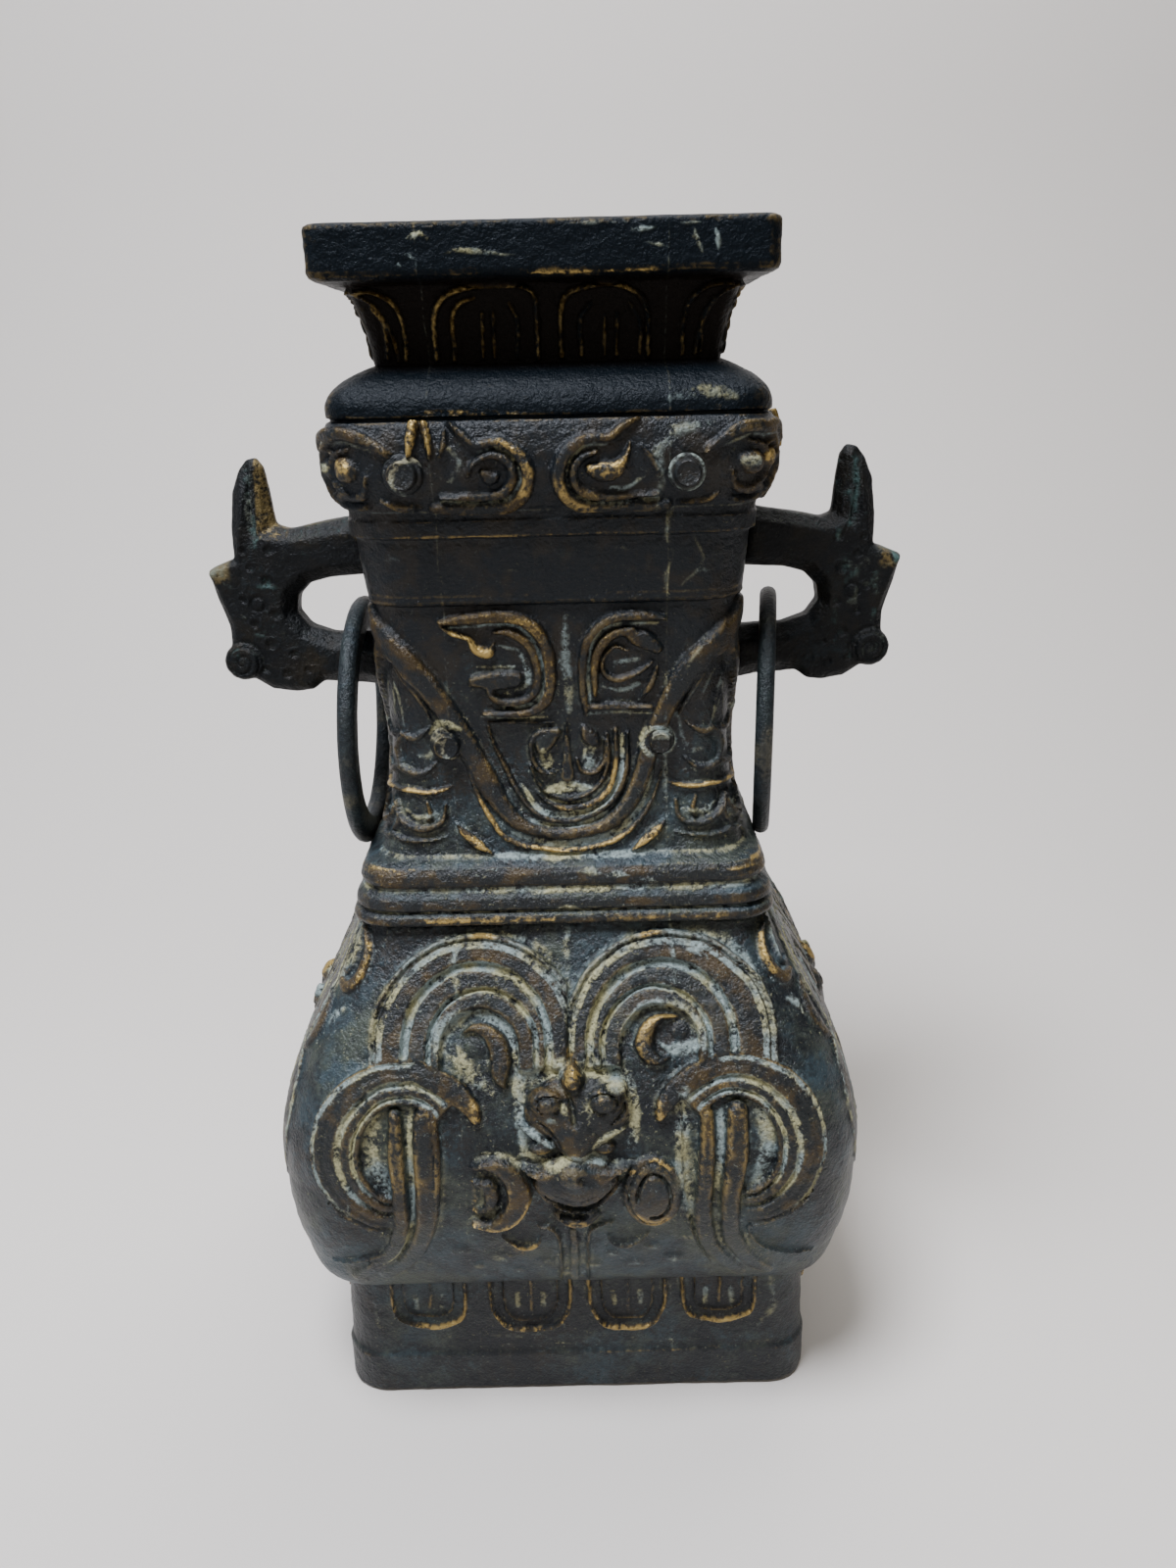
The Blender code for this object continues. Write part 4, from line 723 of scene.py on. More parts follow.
    c.rub_and_highlight([(-31, 267.8, 1.6), (-26.6, 266.2, 1.6), (-24.4, 262.8, 2.4), (-20.4, 261.4, 2.4)], 1)
    c.rub_and_highlight([(-14, 272.3, 1.4), (-7.2, 270, 1.6), (-2.9, 263.2, 1.6), (-1.9, 255, 1.6), (-3.2, 247.2, 1.4)],
          0.4)
    # right C-scroll: as the left, with a lobe and an S stroke in it
    c.band([(8.6, 241, 1), (8, 246, 1.6), (7.9, 253, 1.7), (8.4, 260, 1.7), (10.3, 265.4, 1.8),
            (14, 269.6, 1.8), (19, 271.8, 1.8), (27, 271.8, 1.7), (33, 271, 1)], 2.3, 0.85, edge=0.9,
           crown=0.3)
    c.band([(11.6, 247.4, 1.1), (11.6, 256.4, 1.7), (13.2, 262.4, 1.8), (17, 266.4, 1.8), (23, 267.6, 1.6)],
           2.1, 0.85, edge=0.9, crown=0.2)
    c.groove([(9.9, 245, 0.5), (9.6, 255, 0.6), (10.5, 262, 0.6), (13, 266.8, 0.6), (17.6, 269.3, 0.6),
              (31, 269.5, 0.5)], 0.9, 0.75)
    c.band([(9, 243.6, 1.2), (18, 243.5, 1.3), (28.6, 243.5, 0.9)], 2, 0.7, edge=0.8)
    c.lay_crust_and_highlight([(9, 241.2, 0.6), (29, 241.2, 0.6)], 0.8, edge=0.6)
    c.band([(21.6, 266, 1.4), (26, 264.8, 3.2), (30.6, 261.6, 2)], 1.9, 0.9, edge=1.2, crown=0.4)
    c.band([(29.4, 257.4, 0.7), (24, 253.8, 1.1), (18.2, 252, 1.2), (14.6, 254.4, 1.1), (14.4, 259, 1),
            (17.4, 262.4, 0.9), (22, 261.2, 0.6)], 1.6, 0.7, edge=0.8)
    c.lay_crust_and_highlight([(14, 249.6, 0.8), (20, 248.6, 1.2), (25, 250.6, 1.2)], 0.8, edge=1)
    c.lay_crust_and_highlight([(18, 257.4, 1.4), (25, 258.4, 1.2)], 0.7, edge=1.2)
    c.band([(26, 246.6, 0.7), (28.8, 250.6, 1.3), (31, 256, 0.7)], 1.6, 0.6, edge=0.8)
    c.lay_crust_and_highlight([(3.1, 273, 1.2), (3, 262, 2.4), (3.2, 250, 2.4), (3.4, 242, 1.8)], 0.55, edge=1.8)
    for side in (-1, 1):
        # strands that follow the wave outside, towards the corner
        c.band(flip([(58, 276, 0.6), (54.6, 271.6, 1), (48.6, 258, 1.2), (42.6, 248.4, 1.2),
                     (38.4, 240, 0.7)], side, -1), 1.3, 0.5, edge=0.9)
        c.groove(flip([(61, 263, 0.4), (55.4, 256.6, 0.7), (50.6, 248, 0.8), (48.6, 238, 0.5)], side), 0.5,
                 0.5)
        c.band(flip([(62, 258, 0.6), (56.6, 250, 1.4), (53.2, 240, 1.5), (52.4, 230, 0.8)], side), 1.4, 0.5,
               edge=1)
        # low corners: level line, open hook, upright hook, leaf and the lines round them
        c.band(flip([(57, 216.6, 0.6), (48, 217.4, 1.1), (40, 216.9, 1.1), (33.6, 218.8, 0.5)], side), 1.6,
               0.9, edge=0.8)
        c.rub_and_highlight(flip([(50, 217.4, 1.4), (36, 217.4, 1.4)], side), 0.6)
        c.band(flip([(53, 213.6, 0.8), (51, 208.4, 1.3), (46, 205.6, 1.5), (40.4, 205.8, 1.4),
                     (37.2, 208.4, 1.3), (36.4, 212.8, 0.9)], side), 2, 0.7, edge=0.9)
        c.band(flip([(42.6, 213.8, 0.8), (41.6, 210, 1.2), (42.4, 208, 0.8)], side), 1.5, 0.9, edge=0.8)
        c.lay_crust_and_highlight(flip([(49, 211, 1.2), (45.6, 209, 1.4), (39.6, 209.6, 1.2)], side), 0.7, edge=1.2)
        c.band(flip([(61, 209, 0.6), (57.4, 203.6, 1.2), (50, 201.4, 1.1), (42, 201.6, 0.9),
                     (36, 202.6, 0.5)], side), 1.3, 0.5, edge=0.9)
        c.band(flip([(33.4, 207, 0.3), (31, 203.8, 1.6), (26.4, 200, 1.8), (22, 196.8, 0.5)], side), 2, 1,
               edge=0.9)
        c.rub_and_highlight(flip([(31, 203.8, 2), (26.4, 200, 2.2), (22, 196.8, 1)], side), 0.9)
        # strokes beside the pegs
        c.band(flip([(39.6, 238, 0.6), (45, 234.6, 1.5), (50, 235.6, 0.9)], side), 1.3, 0.5)
        c.band(flip([(38.6, 226.6, 0.6), (43.6, 223, 1.3), (50, 223.8, 1.4), (57, 227, 0.8)], side), 1.5,
               0.5)
        c.lay_crust_and_highlight(flip([(37, 240.6, 1.2), (40, 229.4, 1.8), (45, 228.6, 1.4)], side), 0.55, edge=1.8)
    c.lay_crust_and_highlight([(33.4, 247, 1), (33, 226, 1.5), (33.8, 204, 1.1)], 0.6, edge=1.6)
    c.lay_crust_and_highlight(oval(30.8, 232.2, 5, 4.8, -60, 250, 1.5), 0.95, edge=1.4)
    c.lay_crust_and_highlight([(-40, 236, 1.2), (-36, 239.4, 2.2), (-30.6, 238, 1.4)], 1, edge=1.4)
    # streaks of yellow-green crust down the right side
    for a, z in ((38, 252), (43, 243), (47.4, 236), (36.6, 238), (52, 226)):
        c.lay_crust_and_highlight([(a, z, 0.5), (a + 3.4, z + 7, 1.1), (a + 8, z + 14, 0.5)], 0.5, edge=1.2)


def carve_band(c):
    """Convex band below the shoulder: a C-scroll each side of the middle and a curl at each corner."""
    # left scroll: a broad outer strand with a pale groove, an inner one and a comma
    c.band([(-33.5, 305.9, 1.6), (-24, 305.5, 2.2), (-12.6, 305.8, 2.3), (-7.6, 309.2, 2.3), (-6, 315, 2.3),
            (-8.4, 320.4, 2.2), (-14, 323.1, 1.9), (-20, 322.8, 1.6), (-24, 325.5, 1.6),
            (-27.6, 328.4, 0.9)], 2, 0.75, edge=1.1, crown=0.4)
    c.band([(-31, 309.2, 0.9), (-22, 308.9, 1.4), (-14, 309.4, 1.6), (-10.8, 312.2, 1.7), (-10.3, 316, 1.7),
            (-12.8, 318.9, 1.6), (-17, 319.9, 1.4), (-21, 318, 1.2), (-22.8, 314.6, 0.9)], 1.8, 0.85,
           edge=1, crown=0.3)
    c.groove([(-31, 307.4, 0.4), (-14, 307.5, 0.5), (-9.4, 310.4, 0.5), (-8.1, 315, 0.5),
              (-10.2, 319.2, 0.5), (-15, 321.6, 0.5), (-20, 320.8, 0.4)], 0.5, 0.55)
    c.band([(-14.2, 314.6, 0.9), (-16.6, 313.6, 2), (-18.6, 315.4, 1.2)], 1.6, 0.8, edge=1, crown=0.3)
    c.rub_and_highlight([(-7.6, 309.2, 1.6), (-6, 315, 1.8), (-8.4, 320.4, 1.6), (-14, 323.1, 1.4)], 0.45)
    c.lay_crust_and_highlight([(-28, 313, 1.4), (-25, 318, 1.6), (-28, 322, 1.4)], 0.5, edge=1.6)
    # right scroll
    c.band([(33.5, 305.6, 1.5), (24, 305.2, 2.1), (12, 305.2, 2.3), (5.4, 307.4, 2.4), (2.4, 313, 2.4),
            (3.9, 318.8, 2.3), (8.2, 322.8, 2.1), (13, 324.3, 1.8), (17, 324.1, 1.5), (21, 326.8, 1.5),
            (25.4, 328.6, 0.8)], 2, 0.75, edge=1.1, crown=0.4)
    c.band([(31, 308.8, 0.8), (22, 308.4, 1.3), (14, 308.4, 1.6), (8.4, 310.4, 1.7), (6.8, 314.2, 1.7),
            (8.4, 318.3, 1.6), (13.2, 320.2, 1.1)], 1.8, 0.75, edge=1, crown=0.3)
    c.groove([(31, 307, 0.4), (14, 306.8, 0.5), (7.2, 309, 0.5), (4.8, 313.6, 0.5), (6.2, 318.8, 0.5),
              (11, 322.2, 0.5), (16, 322.2, 0.4)], 0.5, 0.55)
    c.band([(11.4, 315.6, 1.5), (15, 314.8, 2.7), (19, 315.6, 2.4), (21.6, 319, 1.3), (22.6, 322.4, 0.6)],
           2.1, 1, edge=1.1, crown=0.4)
    c.rub_and_highlight([(12, 315.6, 2.4), (17, 315, 3.2), (20.6, 317.6, 2)], 0.6)
    c.lay_crust_and_highlight([(17, 310.4, 0.9), (22, 310.6, 1.1), (26.4, 313.6, 1)], 0.8, edge=1)
    c.rub_and_highlight([(2.4, 313, 1.8), (5.4, 307.4, 1.8), (12, 305.2, 1.6)], 0.4)
    c.band([(25.6, 321.6, 0.8), (28.6, 318.4, 1.3), (30.6, 313.6, 0.9)], 1.2, 0.4, edge=1)
    # golden prongs over the left peg and strokes beside the pegs
    c.band([(-39.4, 319.6, 1.1), (-38.2, 324.4, 1.9), (-37.2, 329.2, 1.8)], 2.3, 1, edge=1, crown=0.4)
    c.band([(-33, 319.6, 0.9), (-33.6, 324, 1.4), (-34.6, 329.2, 1.2)], 2, 1, edge=0.9, crown=0.3)
    c.band([(-30.4, 319.6, 0.7), (-29, 323, 1.2), (-28.6, 326.6, 0.8)], 1.5, 0.6, edge=0.9)
    c.rub_and_highlight([(-39.2, 320.4, 1.6), (-38.2, 324.4, 2.4), (-37.2, 329, 2.4)], 1)
    c.rub_and_highlight([(-33.2, 321, 1.4), (-33.6, 324, 1.8), (-34.4, 328.4, 1.6)], 1)
    c.band([(-48, 308.4, 0.9), (-43, 306, 1.6), (-37, 306.4, 1.2)], 1.5, 0.7, edge=1)
    c.cut([(-37.6, 308.2, 1.9), (-37.2, 307.6, 1.9)], 1.4, curved=False)
    c.band([(48, 308.6, 0.8), (44, 306.2, 1.3), (37, 306, 1)], 1.3, 0.6, edge=1)
    c.cut([(41.6, 306.2, 1.2), (42.6, 307.6, 1.2)], 0.9, curved=False)
    for side in (-1, 1):
        c.band(flip([(43.8, 320.6, 0.9), (47.4, 322.4, 1.6), (52.4, 325.2, 2), (58.6, 326.4, 2.1),
                     (65, 324.2, 2.1), (69, 318.6, 2.1), (69.4, 311.6, 1.9), (65.6, 307.2, 1.5),
                     (60, 305.8, 1)], side), 1.7, 0.75, edge=1.1, crown=0.4)
        c.band(flip([(51.4, 314.4, 0.9), (52.8, 310, 1.3), (57.6, 308.8, 1.5), (62.8, 311.6, 1.5),
                     (64.4, 316.4, 1.4), (61.4, 320.8, 1.2), (56, 322.4, 0.9)], side), 1.3, 0.7, edge=0.9)
        c.groove(flip([(49.6, 321.6, 0.4), (58.4, 324.2, 0.5), (65, 321.4, 0.5), (67, 315.6, 0.5),
                       (65, 310, 0.4)], side), 0.4, 0.45)
    c.knob(-58.4, 317.4, 3.4, 3, 2.3, 1, power=0.5)
    c.rub_and_highlight([(-59.4, 317.4, 2.6), (-57.4, 317.4, 2.6)], 0.9)
    c.knob(56.6, 317, 3.4, 2.8, 1.7, 0.2, power=0.5)
    c.lay_crust_and_highlight([(55.2, 317, 2), (58, 317, 2)], 0.8, edge=1.2)
    c.lay_crust_and_highlight([(30, 303, 1.4), (31.6, 312, 2.6), (30.6, 320, 3), (36, 325.4, 3.2), (46, 327.4, 2.2)], 0.5,
            edge=3)
    c.lay_crust_and_highlight([(34.6, 276, 1), (33, 283, 1.6), (35.2, 290, 1.2), (33.4, 297, 2), (35, 304, 1.6)], 0.38,
            edge=2.2)
    c.lay_crust_and_highlight([(38, 281, 1), (44, 288, 1.4), (41, 296, 1)], 0.45, edge=1.6)
    # lines of the strips and worn edge of the plain band
    c.lay_crust_and_highlight([(-64, 304.2, 0.7), (64, 304.2, 0.7)], 0.35, edge=0.8)
    c.rub_and_highlight([(-62, 279.3, 0.8), (-8, 279.2, 0.9)], 0.55, edge=0.7)
    c.rub_and_highlight([(6, 279.2, 0.9), (62, 279.3, 0.8)], 0.5, edge=0.7)
    c.rub_and_highlight([(-50, 297.3, 0.6), (20, 297.2, 0.6)], 0.3, edge=0.6)
    for a, z, w in ((-47, 290, 1.6), (-12, 286, 1.2), (20, 292, 1.4), (44, 285, 1.8), (52, 299, 1.4)):
        c.lay_crust_and_highlight([(a - 4, z, 0.4), (a, z + 0.6, w), (a + 4, z - 0.4, 0.4)], 0.35, edge=1.6)


def carve_mouth(c):
    """Mouth: two arched panels in the middle of a long face and one beside each corner."""
    rims = ([(-31.4, 345.6, 1.1), (-31.2, 355, 1.1), (-29.6, 360, 1.1), (-25, 363.2, 1.1), (-18, 364.3, 1),
             (-5, 363.6, 0.9), (-2.7, 358, 1), (-2.6, 345.6, 1)], [(4.4, 345.6, 1), (4.4, 357.4, 1),
                                                                   (7.8, 362.6, 1), (18, 364.3, 1),
                                                                   (25.6, 361.6, 1), (28.4, 356, 1),
                                                                   (28.6, 345.6, 1)], [(38.4, 345.6, 0.9),
                                                                                       (38.6, 355, 0.9),
                                                                                       (41, 360.6, 1),
                                                                                       (46, 363.4, 0.9),
                                                                                       (52, 363.4, 0.8)],
            [(-40, 345.6, 0.9), (-40, 355, 0.9), (-42.6, 360.6, 1), (-47.4, 363.4, 0.9), (-53, 363.2, 0.8)])
    for rim in rims:
        c.band(rim, 1.6, 0.9, edge=0.9)
        c.rub_and_highlight([(a, z, w + 0.2) for a, z, w in rim], 0.30 if rim[0][0] < -30 else 0.13)
    for line in ([(-26.2, 345.6, 0.9), (-26, 355, 0.9), (-24, 359.6, 0.9), (-19.6, 361.4, 0.7)],
                 [(-18, 346, 0.7), (-17.6, 357, 0.8)], [(-14.6, 346, 0.6), (-14.8, 357.6, 0.7)],
                 [(-8.2, 346, 0.7), (-8, 355, 0.8), (-10, 359.6, 0.7)], [(9.8, 346, 0.8), (9.8, 355, 0.9),
                                                                         (13, 359.6, 0.8)],
                 [(16.4, 346, 0.6), (16.6, 356, 0.7)], [(20, 346, 0.6), (20, 356.6, 0.7)],
                 [(23.4, 359.4, 0.6), (26.4, 353.6, 0.8), (26.4, 346, 0.6)], [(43.6, 346, 0.7),
                                                                              (44, 355, 0.8),
                                                                              (47, 359.8, 0.7)],
                 [(-45.2, 346, 0.7), (-45.2, 355, 0.8), (-48.4, 359.8, 0.7)]):
        c.band(line, 1.1, 0.9, edge=0.7)
        c.rub_and_highlight([(a, z, w) for a, z, w in line], 0.26 if line[0][0] < -24 else 0.08)
    # worn gold along the low edge of the shoulder and under the flange, with a notch and a chip
    c.rub_and_highlight([(-34, 331.8, 0.9), (-20, 331.6, 1), (-8, 331.4, 0.6)], 0.8, edge=0.8)
    c.rub_and_highlight([(34, 331.6, 0.9), (50, 331.8, 0.9)], 0.5, edge=0.8)
    c.cut([(-34.2, 329.6, 1), (-34.6, 333.4, 0.8)], 1.1, curved=False)
    c.cut([(29, 330.6, 0.9), (33, 331.8, 1.3), (37.6, 330.8, 0.9)], 0.9)
    c.lay_crust_and_highlight([(34, 334, 1.8), (44, 335.6, 3.2), (52, 334, 2.4)], 0.45, edge=2.6)
    c.rub_and_highlight([(-3, 366.6, 0.8), (30, 366.8, 0.8)], 0.6, edge=0.8)
    # pale scratches, a greenish streak and blue-white patches on the flange
    c.lay_crust_and_highlight([(-26, 371.6, 0.6), (-22, 372.6, 1.2), (-12, 371.2, 0.9), (-6, 370.8, 0.4)], 0.6, edge=1)
    for a, z, da, dz, w in ((-36, 375.4, 4, 1.4, 1.2), (-33, 377.4, 3, -2.4, 1), (-37, 372, 3, -1.6, 1),
                            (-39, 370, 1.6, -1.4, 0.6)):
        c.lay_crust_and_highlight([(a, z, 0.4), (a + da / 2, z + dz / 2, w), (a + da, z + dz, 0.4)], 0.85, edge=0.8)
    for a, z, da, dz, w in ((22, 376.4, 9, 0.6, 1.2), (27, 373.6, 7, -1.6, 1), (40, 377.4, 3, -8, 1.1),
                            (46, 377.2, 1, -7, 1.3), (38, 373, 4, 3, 0.8), (35.6, 377.8, 8, 0.2, 0.8)):
        c.lay_crust_and_highlight([(a, z, 0.4), (a + da / 2, z + dz / 2, w), (a + da, z + dz, 0.4)], 0.7, edge=1)
    c.lay_crust_and_highlight([(6, 378.2, 0.5), (16, 378.4, 1), (26, 378.4, 0.6)], 0.5, edge=1)


def corner_foot(c):
    """The corners of the foot are plain."""
    c.lay_crust_and_highlight([(-2, 46, 0.8), (0, 34, 1.4), (2, 24, 0.8)], 0.25, edge=1.6)


def corner_belly(c):
    """A pointed leaf with a hooked foot over each upper corner of the belly, and a curl below it."""
    c.band([(3.4, 173.4, 0.6), (-0.8, 168.6, 1.3), (-2.6, 163, 1.8), (-2.2, 158.6, 2.1), (0.8, 155.6, 2.1),
            (4.6, 156.4, 1.4)], 1.7, 0.9, crown=0.5)
    c.rub_and_highlight([(-1.4, 169, 0.9), (-3.6, 163.4, 1.2), (-3.2, 158.6, 1.1)], 1.6, edge=1)
    c.band([(6.2, 174, 0.6), (3.8, 167, 1), (2.8, 161, 1.1), (4.8, 158.6, 0.9), (7.4, 160, 0.6)], 1.3, 0.1,
           edge=0.8)
    c.lay_crust_and_highlight([(6.2, 173, 0.7), (3.8, 167, 1), (2.8, 161.4, 1)], 0.9, edge=0.9)
    c.lay_crust_and_highlight([(-2, 150.6, 1), (1.4, 148.4, 2.2), (2.6, 144.6, 1.2)], 0.85, edge=1.6)
    c.band([(12, 134, 0.8), (8.6, 138, 2.2), (6.6, 143.4, 2.6), (7.6, 149.4, 1.8), (11, 153, 0.6)], 1, 0.9,
           crown=0.3)


def corner_neck(c):
    """The wave goes on round the corner, over a few short strokes."""
    c.band([(-3, 262, 4.2), (2, 266.4, 4.2), (8, 270.8, 4), (15, 276, 3.6)], 2.3, 0.75, edge=1.3, crown=0.5,
           lines=(1.2,))
    c.band([(-3.6, 236.6, 0.6), (1, 230.4, 1.6), (-1.4, 223, 0.9)], 1.4, 0.5)
    c.band([(2.6, 214, 0.6), (-1.6, 208, 1.4), (1.6, 202, 0.8)], 1.4, 0.6)


def corner_band(c):
    """Curl round a boss on each corner of the convex band."""
    c.band([(-18.4, 319.4, 0.8), (-14.4, 322.4, 1.4), (-8.4, 326, 1.7), (-1.4, 326.4, 1.7), (4.2, 323, 1.7),
            (6.8, 316.6, 1.7), (5, 310, 1.6), (-0.6, 306.4, 1.3), (-7, 306.6, 0.9)], 1.9, 0.6, edge=0.8)
    c.band([(-9.6, 313.6, 0.8), (-8, 309.8, 1.1), (-3.6, 309.2, 1.2), (1.2, 312.2, 1.2), (2.2, 317, 1.1),
            (-0.8, 321, 1), (-5.6, 322, 0.8)], 1.4, 0.5, edge=0.7)
    c.knob(-4.2, 316.4, 3.9, 3.3, 2.6, 0.9, power=0.5)


def corner_mouth(c):
    """Half a panel stands each side of every corner of the mouth."""
    c.band([(-6.6, 345.6, 0.8), (-6.4, 354, 0.9), (-4.4, 360.4, 0.8), (0.6, 363.6, 0.7)], 1.2, 0.9,
           edge=0.8)


PATTERNS = {"foot": (carve_foot, corner_foot), "belly": (carve_belly, corner_belly),
            "neck": (carve_neck, corner_neck), "band": (carve_band, corner_band),
            "mouth": (carve_mouth, corner_mouth)}


def rows_between(low, high, step):
    """Height, half width and corner radius of the rows of one stretch, and the lip of the mouth."""
    keep = OUTLINE[(OUTLINE[:, 0] > low + 0.01) & (OUTLINE[:, 0] < high - 0.01)]
    line = [(low, wall_half(low))] + [tuple(p) for p in keep] + [(high, wall_half(high))]
    line = [(z, h, wall_corner(z)) for z, h in line]
    if high > LIP_FROM:
        line += LIP
    rows = [line[0]]
    for p, q in zip(line, line[1:]):
        n = max(1, int(round(math.hypot(q[0] - p[0], q[1] - p[1]) / step)))
        for k in range(1, n + 1):
            rows.append(tuple(p[m] + (q[m] - p[m]) * k / n for m in range(3)))
    return np.array(rows)


def columns_round(low, high, step_front, step_else):
    """Columns of one stretch: face, and share of the way from its middle to its corner. The front has most."""
    middle = 0.5 * (low + high)
    columns = []
    for face in range(4):
        length = 2 * corner_reach(face, wall_half(middle), wall_corner(middle))
        n = int(round(length / (step_front if face == 0 else step_else)))
        columns += [(face, -1 + 2 * k / n) for k in range(n)]
    return np.array(columns)


def level_loop(z, half, radius, columns):
    """One closed level of the wall, through its columns."""
    out = []
    for face in range(4):
        share = columns[columns[:, 0] == face][:, 1]
        reach = corner_reach(face, half, radius)
        out.append(level_points(face, share * reach, half, radius, np.full(share.shape, z)))
    return np.vstack(out)


def room_levels(name, low, high):
    """Levels of the wall's inner side, from the top down. The belly ends on the floor inside."""
    room = FOOT_ROOM if name == "foot" else ROOM
    at_low, at_high = ((z, np.interp(z, room[:, 0], room[:, 1]), np.interp(z, room[:, 0], room[:, 2]))
                       for z in (low, high))
    between = room[(room[:, 0] > low + 0.01) & (room[:, 0] < high - 0.01)]
    levels = [] if high > LIP_FROM else [at_high]
    levels += [tuple(p) for p in between[::-1]]
    levels += [] if name == "belly" else [at_low]
    rows = []
    for (z0, h0, r0), (z1, h1, r1) in zip(levels, levels[1:]):
        n = max(1, int(math.hypot(z1 - z0, h1 - h0) / 4))
        rows += [(z0 + (z1 - z0) * k / n, h0 + (h1 - h0) * k / n, r0 + (r1 - r0) * k / n)
                 for k in range(n)]
    return rows + [levels[-1]]


def carved(name, base, rows, columns):
    """The carving of one stretch: each face, with what stands on its corners."""
    face_no, share = columns[:, 0], columns[:, 1]
    z = np.repeat(rows[:, :1], len(columns), axis=1)
    reach = [np.array([corner_reach(face, h, r) for _, h, r in rows])[:, None] for face in range(4)]
    whole = Carving(share * reach[0], z)
    carve_face, carve_corner = PATTERNS[name]
    # the model was cut by hand, so no line is quite even
    drift_a, drift_z = (0.30 * lattice_noise(base, 6.5, seed) + 0.14 * lattice_noise(base, 2.4, seed + 1)
                        for seed in (21, 23))
    for face in range(4):
        own = face_no == face
        broad = face in (0, 2)
        work = Carving(share[own] * reach[0] + drift_a[:, own], z[:, own] + drift_z[:, own])
        carve_face(work)
        if name == "belly" and not broad:
            # the carving of the narrow sides is shallower, and sinks towards the corners
            work.high *= SIDE_SHARE * (1 - 0.6 * ease((np.abs(share[own]) - 0.5) / 0.3))
        on_corner = Carving((np.abs(share[own]) - 1) * reach[face] * (1 if broad else -1), z[:, own])
        carve_corner(on_corner)
        whole.brown[:, own] = np.where(on_corner.high > work.high, on_corner.brown, work.brown)
        for key in ("high", "pale", "wear_and_highlight"):
            vars(whole)[key][:, own] = np.maximum(vars(work)[key], vars(on_corner)[key])
    return whole


def soften(grid, rows, cols):
    """Mean over a window of a closed band of values: columns wrap round, rows stop at the ends."""
    k = 2 * rows + 1
    wide = np.pad(grid, ((rows, rows), (0, 0)), mode="edge")
    total = np.cumsum(np.vstack([np.zeros((1, grid.shape[1])), wide]), axis=0)
    grid = (total[k:] - total[:-k]) / k
    k = 2 * cols + 1
    wide = np.pad(grid, ((0, 0), (cols, cols)), mode="wrap")
    total = np.cumsum(np.hstack([np.zeros((grid.shape[0], 1)), wide]), axis=1)
    return (total[:, k:] - total[:, :-k]) / k


def hollow_of(skin, normal, rows, cols):
    """How far each place lies below the mean of what is round it."""
    return sum((soften(skin[:, :, m], rows, cols) - skin[:, :, m]) * normal[:, :, m] for m in range(3))


def cast_skin(work, base, columns, low, high, steps):
    """The carved wall as cast, with its wear and crust, and with painted light and shade: its points, and the values
    that the patina reads.
    steps are those of the columns on the front and of the rows."""
    # the skin is uneven, pitted and lumpy here and there, with thin raised seams where the mould met
    uneven = sum(tall * lattice_noise(base, size, seed) for seed, (size, tall) in enumerate(UNEVEN, 1))
    pits = np.clip(lattice_noise(base, 2.2, 4) - 0.62, 0, 1) \
        * np.clip(lattice_noise(base, 21.0, 5) + 0.2, 0, 1)
    lumps = np.clip(lattice_noise(base, 2.8, 6) - 0.55, 0, 1) \
        * np.clip(lattice_noise(base, 26.0, 7) - 0.15, 0, 1)
    from_seam = np.abs(np.abs(work.a) - SEAM_A - 0.5 * lattice_noise(base, 14.0, 8))
    seam = np.clip(1 - from_seam / SEAM_HALF, 0, 1) * (columns[:, 0] % 2 == 0)
    rise = work.high + uneven + LUMP_HIGH * lumps - PIT_DEEP * pits + SEAM_HIGH * seam \
        + work.pale * (0.16 + 0.30 * lattice_noise(base, 2.1, 9))
    # stretches meet each other flush, and the lip is nearly smooth
    to_top = ease((high - work.z) / JOIN) if high < LIP_FROM else 1.0
    rise = rise * (ease((work.z - low) / JOIN) * to_top)
    if high > LIP_FROM:
        rise = np.where(work.z >= LIP_FROM, 0.35 * (rise - 0.3), rise)
    across = np.roll(base, -1, axis=1) - np.roll(base, 1, axis=1)
    normal = np.cross(across, np.gradient(base, axis=0))
    normal /= np.linalg.norm(normal, axis=2, keepdims=True)
    skin = base + normal * rise[:, :, None]
    # pale crust gathers where the surface dips under what is round it, and high edges are rubbed bright
    film_and_shading = np.interp(work.z, FILM_AND_SHADE_TABLE[:, 0], FILM_AND_SHADE_TABLE[:, 1])
    deep = hollow_of(skin, normal, int(ROUND_ABOUT / steps[1]), int(ROUND_ABOUT / steps[0]))
    edges = np.clip((-hollow_of(skin, normal, 2, 2) - 0.03) / 0.16, 0, 1)
    return skin, {"recess": np.clip(deep / 0.55, 0, 1) * np.clip(0.30 + 0.7 * film_and_shading, 0.06, 1),
                  "rubbed_and_highlight": np.clip(0.22 * edges + work.wear_and_highlight * (0.35 + 0.65 * edges), 0, 1),
                  "brown": work.brown,
                  "pale": np.clip(work.pale + 0.30 * seam, 0, 1),
                  # painted light and shade: the film lies thicker on what faces up and thinner on what faces down
                  "film_and_shading": film_and_shading + 0.25 * np.clip(normal[:, :, 2], -1, 1)}


